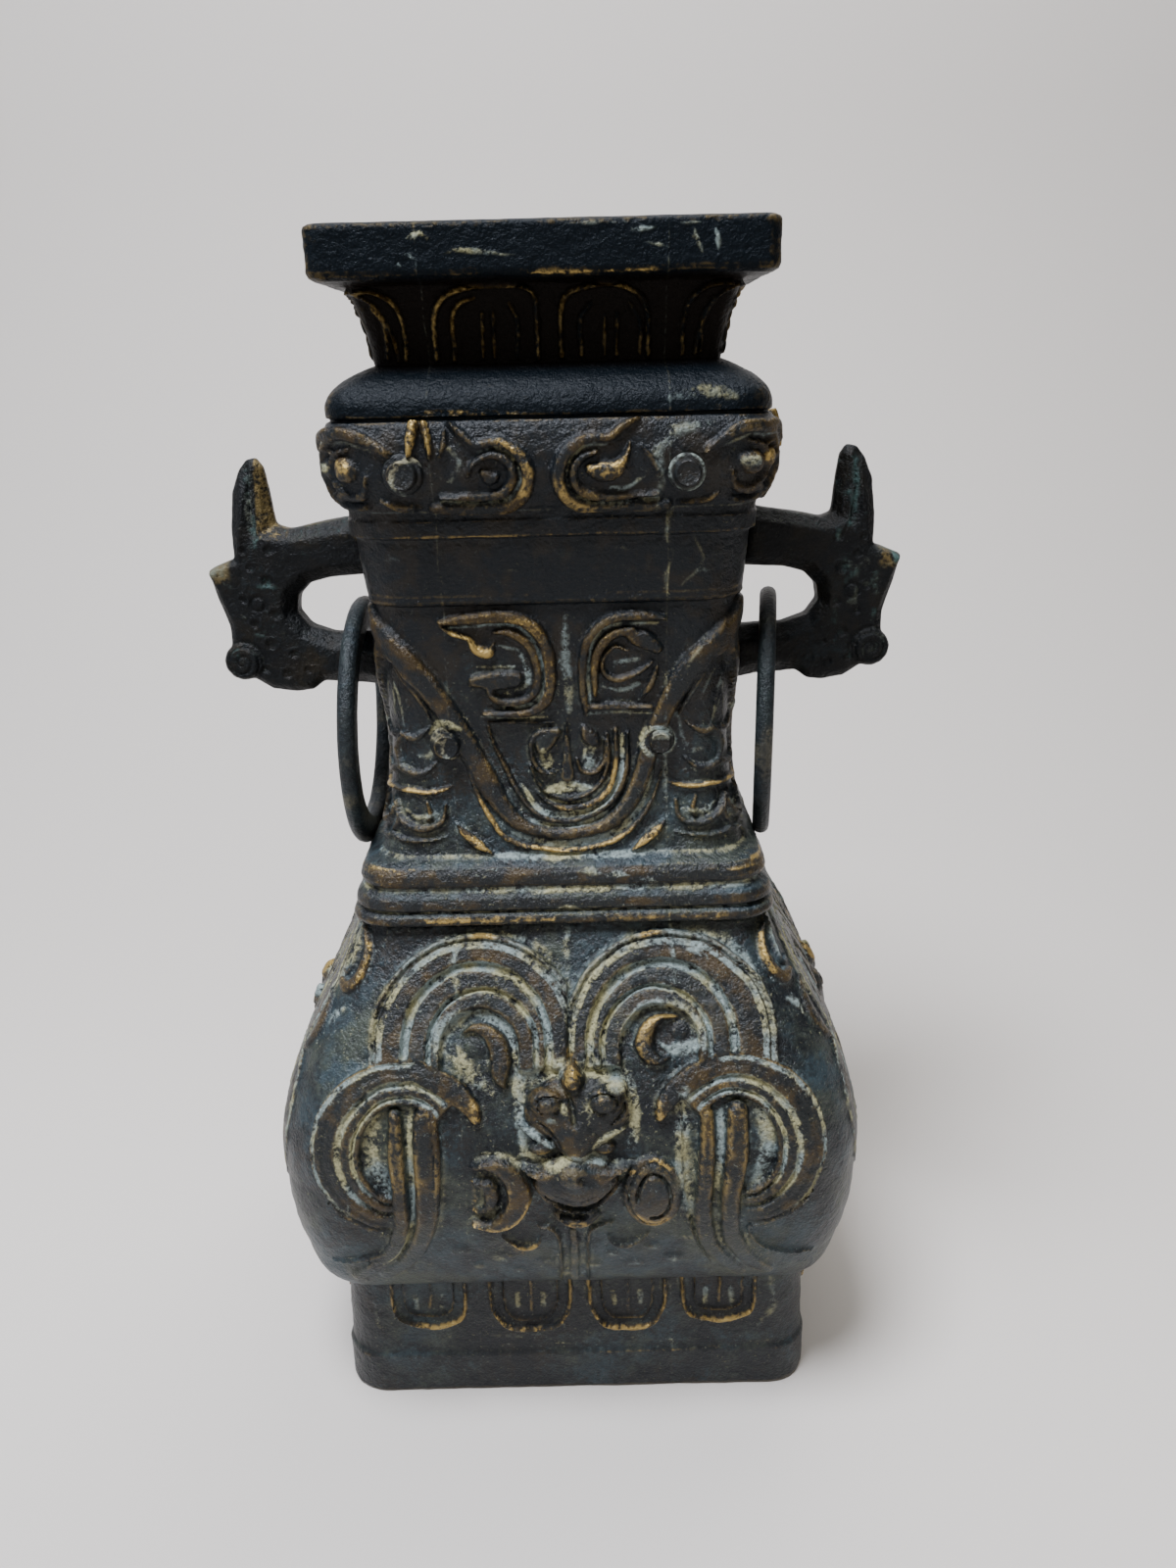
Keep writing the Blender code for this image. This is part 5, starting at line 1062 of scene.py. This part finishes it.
def wall_mesh(name, skin, inner, fields, low):
    """A closed mesh of outer and inner skin, and its number of triangles. The belly has a floor."""
    tall, cols = len(skin) + len(inner), skin.shape[1]
    points = np.vstack([skin.reshape(-1, 3), inner.reshape(-1, 3)])
    fields = {key: np.concatenate([fields[key].ravel(), np.full(len(inner) * cols, INSIDE_LOOK[key])])
              for key in INSIDE_LOOK}
    i, j = np.meshgrid(np.arange(tall if name != "belly" else tall - 1), np.arange(cols), indexing="ij")
    after, up = (j + 1) % cols, (i + 1) % tall
    quads = np.stack([i * cols + j, i * cols + after, up * cols + after, up * cols + j], -1).reshape(-1, 4)
    loops, sizes = [quads.ravel()], [np.full(len(quads), 4)]
    if name == "belly":
        j, after = j[0], after[0]
        floor, under = len(points), len(points) + 1
        points = np.vstack([points, [[0, 0, FLOOR_TOP], [0, 0, low]]])
        fields = {key: np.append(value, [0.25, 0.25]) for key, value in fields.items()}
        last = (tall - 1) * cols
        loops += [np.stack([last + j, last + after, np.full(cols, floor)], -1).ravel(),
                  np.stack([after, j, np.full(cols, under)], -1).ravel()]
        sizes += [np.full(2 * cols, 3)]
    loops, sizes = np.concatenate(loops), np.concatenate(sizes)
    mesh = bpy.data.meshes.new("vessel_" + name)
    mesh.vertices.add(len(points))
    mesh.vertices.foreach_set("co", (points / 1000).astype(np.float32).ravel())
    mesh.loops.add(len(loops))
    mesh.loops.foreach_set("vertex_index", loops.astype(np.int32))
    mesh.polygons.add(len(sizes))
    mesh.polygons.foreach_set("loop_start", np.concatenate([[0], np.cumsum(sizes)[:-1]]).astype(np.int32))
    mesh.update(calc_edges=True)
    mark(mesh, fields)
    return mesh, int((sizes - 2).sum())


def places(mesh):
    """Where the vertices of a mesh are, in mm."""
    co = np.empty(len(mesh.vertices) * 3, np.float32)
    mesh.vertices.foreach_get("co", co)
    return co.reshape(-1, 3).astype(float) * 1000


def mark(mesh, fields):
    """Writes the values that the patina reads on every vertex; a single number goes on all of them."""
    for key, value in fields.items():
        layer = mesh.attributes.new(key, "FLOAT", "POINT")
        layer.data.foreach_set("value", np.full(len(mesh.vertices), value).astype(np.float32))


def settled(source, name):
    """A plain mesh object from the evaluated source, which is then taken away."""
    bpy.context.view_layer.update()
    seen = source.evaluated_get(bpy.context.evaluated_depsgraph_get())
    mesh = bpy.data.meshes.new_from_object(seen)
    mesh.name = name
    source.modifiers.clear()
    bpy.data.objects.remove(source)
    return new_object(name, mesh)


def wall_stretch(name, low, high, step_front, step_else, step_up, triangles):
    """One closed piece of the vessel wall, with its raised work, thinned to a number of triangles."""
    rows, columns = rows_between(low, high, step_up), columns_round(low, high, step_front, step_else)
    base = np.stack([level_loop(z, half, radius, columns) for z, half, radius in rows])
    inner = np.stack([level_loop(z, half, radius, columns)
                      for z, half, radius in room_levels(name, low, high)])
    work = carved(name, base, rows, columns)
    skin, fields = cast_skin(work, base, columns, low, high, (step_front, step_up))
    mesh, count = wall_mesh(name, skin, inner, fields, low)
    rough = new_object("rough_" + name, mesh)
    if count > triangles:
        thin = rough.modifiers.new("thin", "DECIMATE")
        thin.ratio = triangles / count
    piece = settled(rough, "vessel_" + name)
    shade_smooth(piece.data, CRISP)
    piece.data.materials.append(cast_bronze)
    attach(piece, "vessel")
    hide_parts("hu_body")


def patina_bronze(name, dark, film_and_shading, brown, gold_and_highlight, crust, rough, crust_share, gold_share, metal, shine):
    """Cast leaded bronze: a dark skin of patina, pale crust in its recesses, bright metal where the skin is
    broken through, and painted light and shade: glints, highlights, lighter tops and dull shade. dark,
    film_and_shading, brown, crust and rough each hold two values that the surface wanders between."""
    mat, shader = new_material(name)
    node = functools.partial(add_node, mat.node_tree)
    dark, film_and_shading, brown, crust = ([to_linear(c) for c in pair] for pair in (dark, film_and_shading, brown, crust))
    smooth, colours = {"interpolation_type": "SMOOTHSTEP"}, {"data_type": "RGBA"}
    add, times, multiply_add = ({"operation": kind} for kind in ("ADD", "MULTIPLY", "MULTIPLY_ADD"))

    # clouds of colour, by the size of one patch in mm; grain and speck, which also paints glints, are drawn coarser
    # than the real 0.3 mm, so that they can be seen from a hand's breadth away
    place = node("ShaderNodeTexCoord", out="Object")
    broad, patch, streak, medium, fine, speck, grain = (
        node("ShaderNodeTexNoise", {"Vector": place, "Scale": 1000 / mm, "Detail": detail,
                                    "Roughness": 0.6}, out="Fac")
        for mm, detail in ((38, 3), (17, 4), (13, 3), (6, 5), (1.6, 4), (1.2, 2), (0.9, 3)))
    raised, wear_and_highlight, sunk, pale, film_shading_read = (
        node("ShaderNodeAttribute", settings={"attribute_name": key}, out="Fac")
        for key in ("brown", "rubbed_and_highlight", "recess", "pale", "film_and_shading"))

    # blue-black skin, brown-black on the narrow part of the mouth, under a thin grey-green to grey-blue
    # film, which lies thicker on what faces up as painted light and is thinner below as painted shade
    warmth = node("ShaderNodeMapRange", {"Value": film_shading_read, "From Min": -1.2, "From Max": -1.8})
    bare = node("ShaderNodeMix", {0: warmth, 6: dark[0], 7: dark[1]}, colours, 2)
    film_at = node("ShaderNodeMath", {0: medium, 1: 0.7, 2: broad}, multiply_add)
    film_at = node("ShaderNodeMath", {0: fine, 1: 0.7, 2: film_at}, multiply_add)
    film_at = node("ShaderNodeMath", {0: film_shading_read, 1: 0.45, 2: film_at}, multiply_add)
    film_at = node("ShaderNodeMapRange", {"Value": film_at, "From Min": 1.24, "From Max": 1.76}, smooth)
    cool = node("ShaderNodeMapRange", {"Value": patch, "From Min": 0.42, "From Max": 0.58}, smooth)
    film_colour = node("ShaderNodeMix", {0: cool, 6: film_and_shading[0], 7: film_and_shading[1]}, colours, 2)
    ground = node("ShaderNodeMix", {0: film_at, 6: bare, 7: film_colour}, colours, 2)
    # brown comes through in patches, more on the raised work, where it lies over a blue-grey skin
    warm = node("ShaderNodeMath", {0: patch, 1: medium}, add)
    warm = node("ShaderNodeMapRange", {"Value": warm, "From Min": 0.94, "From Max": 1.18}, smooth)
    thin = node("ShaderNodeMath", {0: 0.26, 1: film_at}, {"operation": "SUBTRACT", "use_clamp": True})
    tint = node("ShaderNodeMath", {0: warm, 1: thin}, times)
    brownish = node("ShaderNodeMapRange", {"Value": film_shading_read, "From Min": -0.8, "From Max": -0.1}, smooth)
    tint = node("ShaderNodeMath", {0: tint, 1: brownish}, times)
    ground = node("ShaderNodeMix", {0: tint, 6: ground, 7: brown[0]}, colours, 2)
    high = node("ShaderNodeMapRange", {"Value": raised, "From Min": 0.1, "From Max": 0.9, "To Max": 0.9},
                smooth)
    band = node("ShaderNodeMix", {0: warm, 6: brown[1], 7: brown[0]}, colours, 2)
    skin = node("ShaderNodeMix", {0: high, 6: ground, 7: band}, colours, 2)
    # metal shows where the skin is rubbed through, in scratches along the high edges and in fine flecks; in a few
    # places it is a painted highlight
    rub_and_highlight = node("ShaderNodeMath", {0: streak, 1: fine}, add)
    rub_and_highlight = node("ShaderNodeMapRange", {"Value": rub_and_highlight, "From Min": 0.84, "From Max": 1.14, "To Min": 0.15},
               smooth)
    rub_and_highlight = node("ShaderNodeMath", {0: rub_and_highlight, 1: wear_and_highlight}, times)
    flecks = node("ShaderNodeMapRange", {"Value": grain, "From Min": 0.54, "From Max": 0.70, "To Max": 0.30},
                  smooth)
    flecks = node("ShaderNodeMath", {0: flecks, 1: warm}, times)
    flecks = node("ShaderNodeMath", {0: flecks, 1: high}, times)
    rub_and_highlight = node("ShaderNodeMath", {0: rub_and_highlight, 1: flecks}, add)
    rub_and_highlight = node("ShaderNodeMapRange", {"Value": rub_and_highlight, "From Min": 0.05, "From Max": 0.75,
                                      "To Max": gold_share}, smooth)
    skin = node("ShaderNodeMix", {0: rub_and_highlight, 6: skin, 7: to_linear(gold_and_highlight)}, colours, 2)
    # dull crust of earth and verdigris stays in the grooves; the fine pale specks on the rest are crust and painted
    # glints
    crust_and_painted_light = node("ShaderNodeMath", {0: sunk, 1: crust_share, 2: pale}, multiply_add)
    patchy = node("ShaderNodeMath", {0: medium, 1: fine}, add)
    patchy = node("ShaderNodeMapRange", {"Value": patchy, "From Min": 0.74, "From Max": 1.12,
                                         "To Min": 0.10}, smooth)
    crust_and_painted_light = node("ShaderNodeMath", {0: crust_and_painted_light, 1: patchy}, times)
    specks = node("ShaderNodeMapRange", {"Value": speck, "From Min": 0.60, "From Max": 0.72, "To Max": 0.50},
                  smooth)
    many = node("ShaderNodeMapRange", {"Value": film_shading_read, "From Min": -1.0, "From Max": 1.0, "To Min": 0.1})
    specks = node("ShaderNodeMath", {0: specks, 1: many}, times)
    crust_and_painted_light = node("ShaderNodeMath", {0: crust_and_painted_light, 1: specks}, add)
    crust_and_painted_light = node("ShaderNodeMapRange", {"Value": crust_and_painted_light, "From Min": 0.08, "From Max": 0.90}, smooth)
    crust_and_glint_colour = node("ShaderNodeMix", {0: cool, 6: crust[0], 7: crust[1]}, colours, 2)
    mottle = node("ShaderNodeMapRange", {"Value": grain, "From Min": 0.36, "From Max": 0.62, "To Min": 0.55})
    crust_and_glint_colour = node("ShaderNodeMix", {0: mottle, 6: bare, 7: crust_and_glint_colour}, colours, 2)
    skin = node("ShaderNodeMix", {0: crust_and_painted_light, 6: skin, 7: crust_and_glint_colour}, colours, 2)
    # patina is satin, worn metal shines a little more, crust is matt
    dull = node("ShaderNodeMapRange", {"Value": rub_and_highlight, "To Min": rough[0], "To Max": rough[1]})
    dull = node("ShaderNodeMath", {0: fine, 1: 0.16, 2: dull}, multiply_add)
    dull = node("ShaderNodeMath", {0: crust_and_painted_light, 1: 0.30, 2: dull}, multiply_add)
    metallic = node("ShaderNodeMath", {0: rub_and_highlight, 1: 0.6, 2: metal}, multiply_add)
    clean = node("ShaderNodeMath", {0: 1.0, 1: crust_and_painted_light}, {"operation": "SUBTRACT"})
    metallic = node("ShaderNodeMath", {0: metallic, 1: clean}, times)
    # painted shade: the shine is taken off under the flange and round the mouth, where the values run low
    gleam = node("ShaderNodeMapRange", {"Value": film_shading_read, "From Min": -1.0, "From Max": 0.2,
                                        "To Min": 0.15 * shine, "To Max": shine})
    # casting grain and rough crust
    tooth = node("ShaderNodeMath", {0: grain, 1: 0.7, 2: fine}, multiply_add)
    tooth = node("ShaderNodeMath", {0: medium, 1: 1.2, 2: tooth}, multiply_add)
    tooth = node("ShaderNodeMath", {0: crust_and_painted_light, 1: 0.3, 2: tooth}, multiply_add)
    tooth = node("ShaderNodeBump", {"Height": tooth, "Strength": 0.75, "Distance": 0.0008})
    for key, value in (("Base Color", skin), ("Roughness", dull), ("Metallic", metallic),
                       ("Specular IOR Level", gleam), ("Normal", tooth)):
        mat.node_tree.links.new(value, shader.inputs[key])
    return mat


# dark brown and blue-black patina with grey-green earth crust and golden rubbed metal; the crust colour also paints
# glints and a few highlights, and the gold a few highlights
cast_bronze = patina_bronze("cast_bronze_patina", dark=("#0a1015", "#0d0906"), film_and_shading=("#394038", "#2d3c42"),
                            brown=("#372a11", "#101416"), gold_and_highlight="#b59a5c", crust=("#9c9974", "#82908e"),
                            rough=(0.31, 0.24), crust_share=0.55, gold_share=0.8, metal=0.16, shine=0.42)
# stretch, its heights, step of its columns on the front and elsewhere, step of its rows, triangles
for stretch in (("foot", 0.0, 49.0, 0.62, 1.0, 0.62, 120000),
                ("belly", 49.0, 174.9, 0.55, 0.9, 0.58, 190000),
                ("neck", 174.9, 276.0, 0.5, 0.85, 0.55, 190000),
                ("band", 276.0, 329.3, 0.5, 0.85, 0.52, 150000),
                ("mouth", 329.3, 380.0, 0.55, 0.85, 0.55, 120000)):
    wall_stretch(*stretch)


# Pegs: short solid bronze stubs with a collar, cast with the wall, two on the neck and two on the
# convex band of each long face. They held the core when the vessel was cast.
# place along the wall, height, radius
PEG_PLACES = [(-41.0, 315.2, 4.1), (38.6, 314.2, 3.7), (-34.8, 232.8, 3.9), (31.4, 232.6, 3.3)]
PEG_LONG, PEG_SIDES = 1.15, 28
# a peg turned round its own axis: distance out from the wall, radius
PEG_LINE = [(-1.5, 1.45), (1.2, 1.42), (1.8, 1.30), (2.0, 1.08), (4.2, 1.0), (4.8, 0.97), (5.05, 0.88),
            (4.9, 0.76), (4.75, 0.60), (4.75, 0.25)]
PEG_SIZES = {"Stub size": 0.001}        # the stub is drawn in mm


def geometry_tree(name, sizes):
    """An empty geometry node tree with named number inputs, and the outputs of its input node."""
    tree = bpy.data.node_groups.new(name, "GeometryNodeTree")
    for way in ("INPUT", "OUTPUT"):
        tree.interface.new_socket("Geometry", in_out=way, socket_type="NodeSocketGeometry")
    for key, value in sizes.items():
        socket = tree.interface.new_socket(key, in_out="INPUT", socket_type="NodeSocketFloat")
        socket.default_value = value
    return tree, tree.nodes.new("NodeGroupInput").outputs


def close_tree(tree, geometry, material):
    """Ends a geometry node tree: its instances are made real and coated with one material."""
    real = add_node(tree, "GeometryNodeRealizeInstances", {"Geometry": geometry})
    coat = add_node(tree, "GeometryNodeSetMaterial", {"Geometry": real, "Material": material})
    tree.links.new(coat, tree.nodes.new("NodeGroupOutput").inputs["Geometry"])


def grown(name, tree, base, sizes):
    """Runs a geometry node tree on a base mesh and keeps the plain result."""
    source = new_object("source_" + name, base)
    made_by = source.modifiers.new("made_by", "NODES")
    made_by.node_group = tree
    for item in tree.interface.items_tree:
        if item.in_out == "INPUT" and item.name in sizes:
            made_by[item.identifier] = sizes[item.name]
    return settled(source, name)


# greyer and duller than the wall, with a little gold round the head
peg_bronze = patina_bronze("peg_bronze_patina", dark=("#0d1114", "#0d0806"), film_and_shading=("#30342f", "#2a3236"),
                           brown=("#2e2618", "#181d20"), gold_and_highlight="#857348", crust=("#87836a", "#7b857e"),
                           rough=(0.40, 0.32), crust_share=0.5, gold_share=0.6, metal=0.16, shine=0.3)
mesh = bpy.data.meshes.new("peg_stub")
turns = [2 * math.pi * k / PEG_SIDES for k in range(PEG_SIDES)]
points = [(r * math.cos(t), r * math.sin(t), out) for out, r in PEG_LINE for t in turns]
faces = [(i * PEG_SIDES + k, i * PEG_SIDES + (k + 1) % PEG_SIDES, (i + 1) * PEG_SIDES + (k + 1) % PEG_SIDES,
          (i + 1) * PEG_SIDES + k) for i in range(len(PEG_LINE) - 1) for k in range(PEG_SIDES)]
faces += [tuple(range(PEG_SIDES))[::-1],
          tuple((len(PEG_LINE) - 1) * PEG_SIDES + k for k in range(PEG_SIDES))]
mesh.from_pydata(points, [], faces)
stub = new_object("peg_stub", mesh)

tree, given = geometry_tree("pegs_on_wall", PEG_SIZES)
node = functools.partial(add_node, tree)
vector = {"data_type": "FLOAT_VECTOR"}
spots = node("GeometryNodeMeshToPoints", {"Mesh": given["Geometry"]}, out="Points")
outward = node("GeometryNodeInputNamedAttribute", {"Name": "outward"}, vector, "Attribute")
width = node("GeometryNodeInputNamedAttribute", {"Name": "width"}, vector, "Attribute")
scaled = node("ShaderNodeVectorMath", {"Vector": width, "Scale": given["Stub size"]},
              {"operation": "SCALE"}, "Vector")
pegs = node("GeometryNodeInstanceOnPoints", {
    "Points": spots, "Instance": node("GeometryNodeObjectInfo", {"Object": stub}, out="Geometry"),
    "Rotation": node("FunctionNodeAlignRotationToVector", {"Vector": outward}, {"axis": "Z"}, "Rotation"),
    "Scale": scaled}, out="Instances")
close_tree(tree, pegs, peg_bronze)

spots, out_ways, widths = [], [], []
for face in (0, 2):
    for a, z, r in PEG_PLACES:
        here, beside = level_points(face, np.array([a, a + 0.2]), wall_half(z), wall_corner(z),
                                    np.array([z, z]))
        beside = beside - here
        spots.append(tuple(here / 1000))
        out_ways.append(tuple(Vector((beside[1], -beside[0], 0)).normalized()))
        widths.append((r, r, PEG_LONG))
base = bpy.data.meshes.new("peg_places")
base.from_pydata(spots, [], [])
for key, values in (("outward", out_ways), ("width", widths)):
    layer = base.attributes.new(key, "FLOAT_VECTOR", "POINT")
    layer.data.foreach_set("vector", [v for row in values for v in row])
pegs = grown("vessel_pegs", tree, base, PEG_SIZES)
bpy.data.objects.remove(stub)

co = places(pegs.data)
crust_and_lit_tops, rubbed_and_highlight = np.zeros(len(co)), np.zeros(len(co))
for spot, way, (a, z, r) in zip(spots, out_ways, PEG_PLACES * 2):
    off = co - 1000 * np.array(spot)
    out_mm = off @ np.array(way)
    off = off - out_mm[:, None] * np.array(way)
    from_axis = np.linalg.norm(off, axis=1)
    near = from_axis < 1.6 * r
    if a > 0:
        # a ring of crust round the foot of the right pegs
        crust_and_lit_tops[near] = 0.75 * ease((from_axis[near] / r - 1.12) / 0.14)
    elif z < 300:
        # painted highlight: the low left peg is painted blue-white on its upper side, where light falls
        crust_and_lit_tops[near] = ease((off[near, 2] / r - 0.05) / 0.4) * 0.7
    rubbed_and_highlight[near] = 0.5 * ease((from_axis[near] / r - 0.7) / 0.12) * ease((out_mm[near] - 4.4) / 0.6)
mark(pegs.data, {"recess": 0.0, "rubbed_and_highlight": rubbed_and_highlight, "brown": 0.25, "pale": crust_and_lit_tops, "film_and_shading": 0.2})
shade_smooth(pegs.data, 40)
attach(pegs, "vessel")
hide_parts("hu_body")


# Handles: a dragon head with an upright ear, cast on to each side as a flattened loop of bronze.
# They are worn smooth, with a black skin, soft facets and a curl on the cheek.
VOXEL, SMOOTHINGS = 0.00048, 20
HEAD_FROM = 86.0                        # x from here outwards is the dragon's head
CURL_AT, CURL_PITCH = (104.6, 252.2), 2.9
EYE_AT, EAR_AT = (97.4, 271.6), (96.6, 300.0)
# shallow round pits scattered over the head and the jaw: x, z, radius, depth
PITS = ((93.5, 279, 2.2, 0.7), (98.5, 283.5, 1.6, 0.5), (92, 268, 2.0, 0.6), (99, 265, 1.7, 0.5),
        (94.5, 258, 2.1, 0.6), (88, 254.6, 1.5, 0.5), (97, 249.4, 1.6, 0.5), (90, 248, 1.8, 0.5),
        (100.6, 289, 1.4, 0.4), (92, 289, 1.8, 0.5), (84, 249, 1.5, 0.4), (102, 273, 1.5, 0.5))
# the left head stands out a little more than the right one, whose cheek sits further in
HEAD_SHIFT = {"left": 1.0, "right": -0.4}


def mound(distance, reach):
    """1 at the place itself, falling round to 0 at its reach."""
    return np.clip(1 - (distance / reach) ** 2, 0, 1)


def ridge(distance, half):
    """1 along a line, falling straight to 0 at its half width."""
    return np.clip(1 - np.abs(distance) / half, 0, 1)


# black skin with a brown breath, a little grey-green crust, which also paints the lit tops, and dull gold
handle_bronze = patina_bronze("handle_bronze_black", dark=("#07090b", "#0d0806"), film_and_shading=("#171b1b", "#151d21"),
                              brown=("#1c1810", "#0e1214"), gold_and_highlight="#7a6a44", crust=("#5c6054", "#3c5452"),
                              rough=(0.38, 0.32), crust_share=0.45, gold_share=0.6, metal=0.14, shine=0.2)
for side, label in ((-1, "left"), (1, "right")):
    rough = new_object("rough_handle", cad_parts["handle_" + label].data.copy())
    rough.modifiers.new("weld", "WELD").merge_threshold = 0.00001
    even = rough.modifiers.new("even", "REMESH")
    even.mode, even.voxel_size = "VOXEL", VOXEL
    soft = rough.modifiers.new("soft", "SMOOTH")
    soft.factor, soft.iterations = 0.5, SMOOTHINGS
    piece = settled(rough, "dragon_handle_" + label)
    co = places(piece.data)
    normals = np.empty(len(co) * 3, np.float32)
    piece.data.vertex_normals.foreach_get("vector", normals)
    normals = normals.reshape(-1, 3)
    x, z = side * co[:, 0], co[:, 2]
    flat = np.clip(np.abs(normals[:, 1]) * 1.6 - 0.5, 0, 1)
    head = ease((x - HEAD_FROM) / 6)
    move = 0.12 * lattice_noise(co, 5.0, 21) + 0.06 * lattice_noise(co, 1.7, 22)
    for px, pz, pr, deep in PITS:
        r = np.hypot(x - px, z - pz)
        move -= deep * mound(r, pr) * flat
        move += 0.25 * ridge(r - pr - 0.3, 0.6) * flat
    # curl cut into the cheek, and a line round it
    r, turn_at = np.hypot(x - CURL_AT[0], z - CURL_AT[1]), np.arctan2(z - CURL_AT[1], x - CURL_AT[0])
    spiral = np.abs(((r / CURL_PITCH - turn_at / (2 * math.pi)) % 1.0) - 0.5) * CURL_PITCH
    move -= 0.7 * ridge(spiral, 0.7) * flat * (r < 5.8) * (r > 0.9)
    move -= 0.6 * ridge(r - 7.0, 0.9) * flat * (x < 108)
    # round eye, and a crease down the ear
    r = np.hypot(x - EYE_AT[0], z - EYE_AT[1])
    move -= 0.55 * ridge(r - 2.4, 0.6) * flat
    move += 0.5 * mound(r, 2.0) * flat
    crease = ridge(x - EAR_AT[0] - (z - EAR_AT[1]) * 0.06, 3.0)
    move -= 1.9 * crease * flat * ease((z - 289) / 8) * ease((318 - z) / 5)
    co += normals * move[:, None]
    co[:, 0] += side * HEAD_SHIFT[label] * head
    piece.data.vertices.foreach_set("co", (co / 1000).astype(np.float32).ravel())
    # worn edges and nose, gold down the inner edge of the left ear, crust in spots, and pale paint and film on what
    # faces up as a painted highlight on the lit tops
    nose = ease((x - 104) / 4) * ease((z - 277) / 4) * ease((288 - z) / 2)
    edges = (1 - flat) * ease((z - 262) / 10)
    up = np.clip(normals[:, 2], 0, 1)
    wear_and_highlight = np.clip(np.abs(lattice_noise(co, 6.0, 24)) * 1.2 - 0.3, 0, 1) * edges * 0.7
    wear_and_highlight += 1.1 * (side < 0) * ease((z - 290) / 4) * ease((95.5 - x) / 1.2) \
        * ease((normals[:, 0] * side * -1 + 0.2) / 0.6)
    crust_and_lit_tops = 0.8 * nose * np.clip(0.6 + lattice_noise(co, 3.0, 26), 0, 1)
    crust_and_lit_tops += 0.9 * np.clip(lattice_noise(co, 3.2, 27) - 0.36, 0, 1) * head
    crust_and_lit_tops += 0.3 * up * (z > 290) * ease((90 - x) / 6)
    mark(piece.data, {"recess": np.clip(-move - 0.15, 0, 1) * 1.2,
                      "rubbed_and_highlight": np.clip(wear_and_highlight + 0.8 * nose, 0, 1),
                      "brown": 0.35 + 0.4 * lattice_noise(co, 12.0, 25),
                      "pale": np.clip(crust_and_lit_tops, 0, 1), "film_and_shading": 0.3 * up})
    shade_smooth(piece.data)
    piece.data.materials.clear()
    piece.data.materials.append(handle_bronze)
    piece.data.update()
    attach(piece, "vessel")
    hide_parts("handle_" + label)


# Loose rings: each a flat bronze bar with broken corners, bent to a circle and closed round its arm.
# Hanging metal rubs itself smooth, so they are dark blue-grey with a soft shine.
RING_SIZES = {"Middle radius": 0.03725, "Bar width": 0.0056, "Bar depth": 0.0105, "Corner": 0.0026,
              "Unevenness": 0.00016}
ARM_MIDDLE, RING_DROP = 0.2516, 0.0225      # height of the arm, and how far below it the ring has its middle
RING_STEPS, CORNER_STEPS, DENTS = 160, 3, 160.0
# place along the arm, and in degrees how far it is turned and how far it leans
RINGS = {"left": (0.0664, 0.2, 1.8), "right": (0.0704, 8.5, -0.4)}
# dark blue-grey, rubbed smooth, with hardly any crust
ring_bronze = patina_bronze("ring_bronze_worn", dark=("#171d20", "#0d0806"), film_and_shading=("#2b3434", "#26323a"),
                            brown=("#2a2620", "#1a2024"), gold_and_highlight="#6f6a58", crust=("#646a60", "#56676a"),
                            rough=(0.38, 0.32), crust_share=0.3, gold_share=0.4, metal=0.24, shine=0.3)
tree, given = geometry_tree("bent_bar", RING_SIZES)
node = functools.partial(add_node, tree)
circle = node("GeometryNodeCurvePrimitiveCircle",
              {"Resolution": RING_STEPS, "Radius": given["Middle radius"]}, out="Curve")
bar = node("GeometryNodeCurvePrimitiveQuadrilateral",
           {"Width": given["Bar depth"], "Height": given["Bar width"]}, out="Curve")
bar = node("GeometryNodeFilletCurve", {"Curve": bar, "Radius": given["Corner"], "Count": CORNER_STEPS},
           {"mode": "POLY"}, "Curve")
swept = node("GeometryNodeCurveToMesh", {"Curve": circle, "Profile Curve": bar}, out="Mesh")
uneven = node("ShaderNodeTexNoise", {"Scale": DENTS, "Detail": 3.0}, out="Fac")
uneven = node("ShaderNodeMath", {0: uneven, 1: 0.5}, {"operation": "SUBTRACT"})
uneven = node("ShaderNodeMath", {0: uneven, 1: given["Unevenness"]}, {"operation": "MULTIPLY"})
outward = node("GeometryNodeInputNormal", out="Normal")
push = node("ShaderNodeVectorMath", {"Vector": outward, "Scale": uneven}, {"operation": "SCALE"}, "Vector")
dented = node("GeometryNodeSetPosition", {"Geometry": swept, "Offset": push}, out="Geometry")
close_tree(tree, dented, ring_bronze)
for side, label in ((-1, "left"), (1, "right")):
    along_arm, turned, leaning = RINGS[label]
    piece = grown("loose_ring_" + label, tree, bpy.data.meshes.new("ring_seed"), RING_SIZES)
    # the circle is made lying flat: stand it up across the arm, then turn and lean it as it hangs
    stand = Matrix.Rotation(math.radians(turned) * -side, 4, "Z") @ Matrix.Rotation(math.pi / 2, 4, "Y")
    hang = Matrix.Rotation(math.radians(leaning) * -side, 4, "Y") @ Matrix.Translation((0, 0, -RING_DROP))
    piece.data.transform(Matrix.Translation((side * along_arm, 0.0, ARM_MIDDLE)) @ hang @ stand)
    co = places(piece.data)
    mark(piece.data, {"recess": 0.0, "rubbed_and_highlight": np.clip(lattice_noise(co, 7.0, 31), 0, 1),
                      "brown": 0.3 + 0.3 * lattice_noise(co, 12.0, 32), "pale": 0.0, "film_and_shading": 0.3})
    shade_smooth(piece.data)
    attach(piece, label + "_ring")
    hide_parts("ring_" + label)
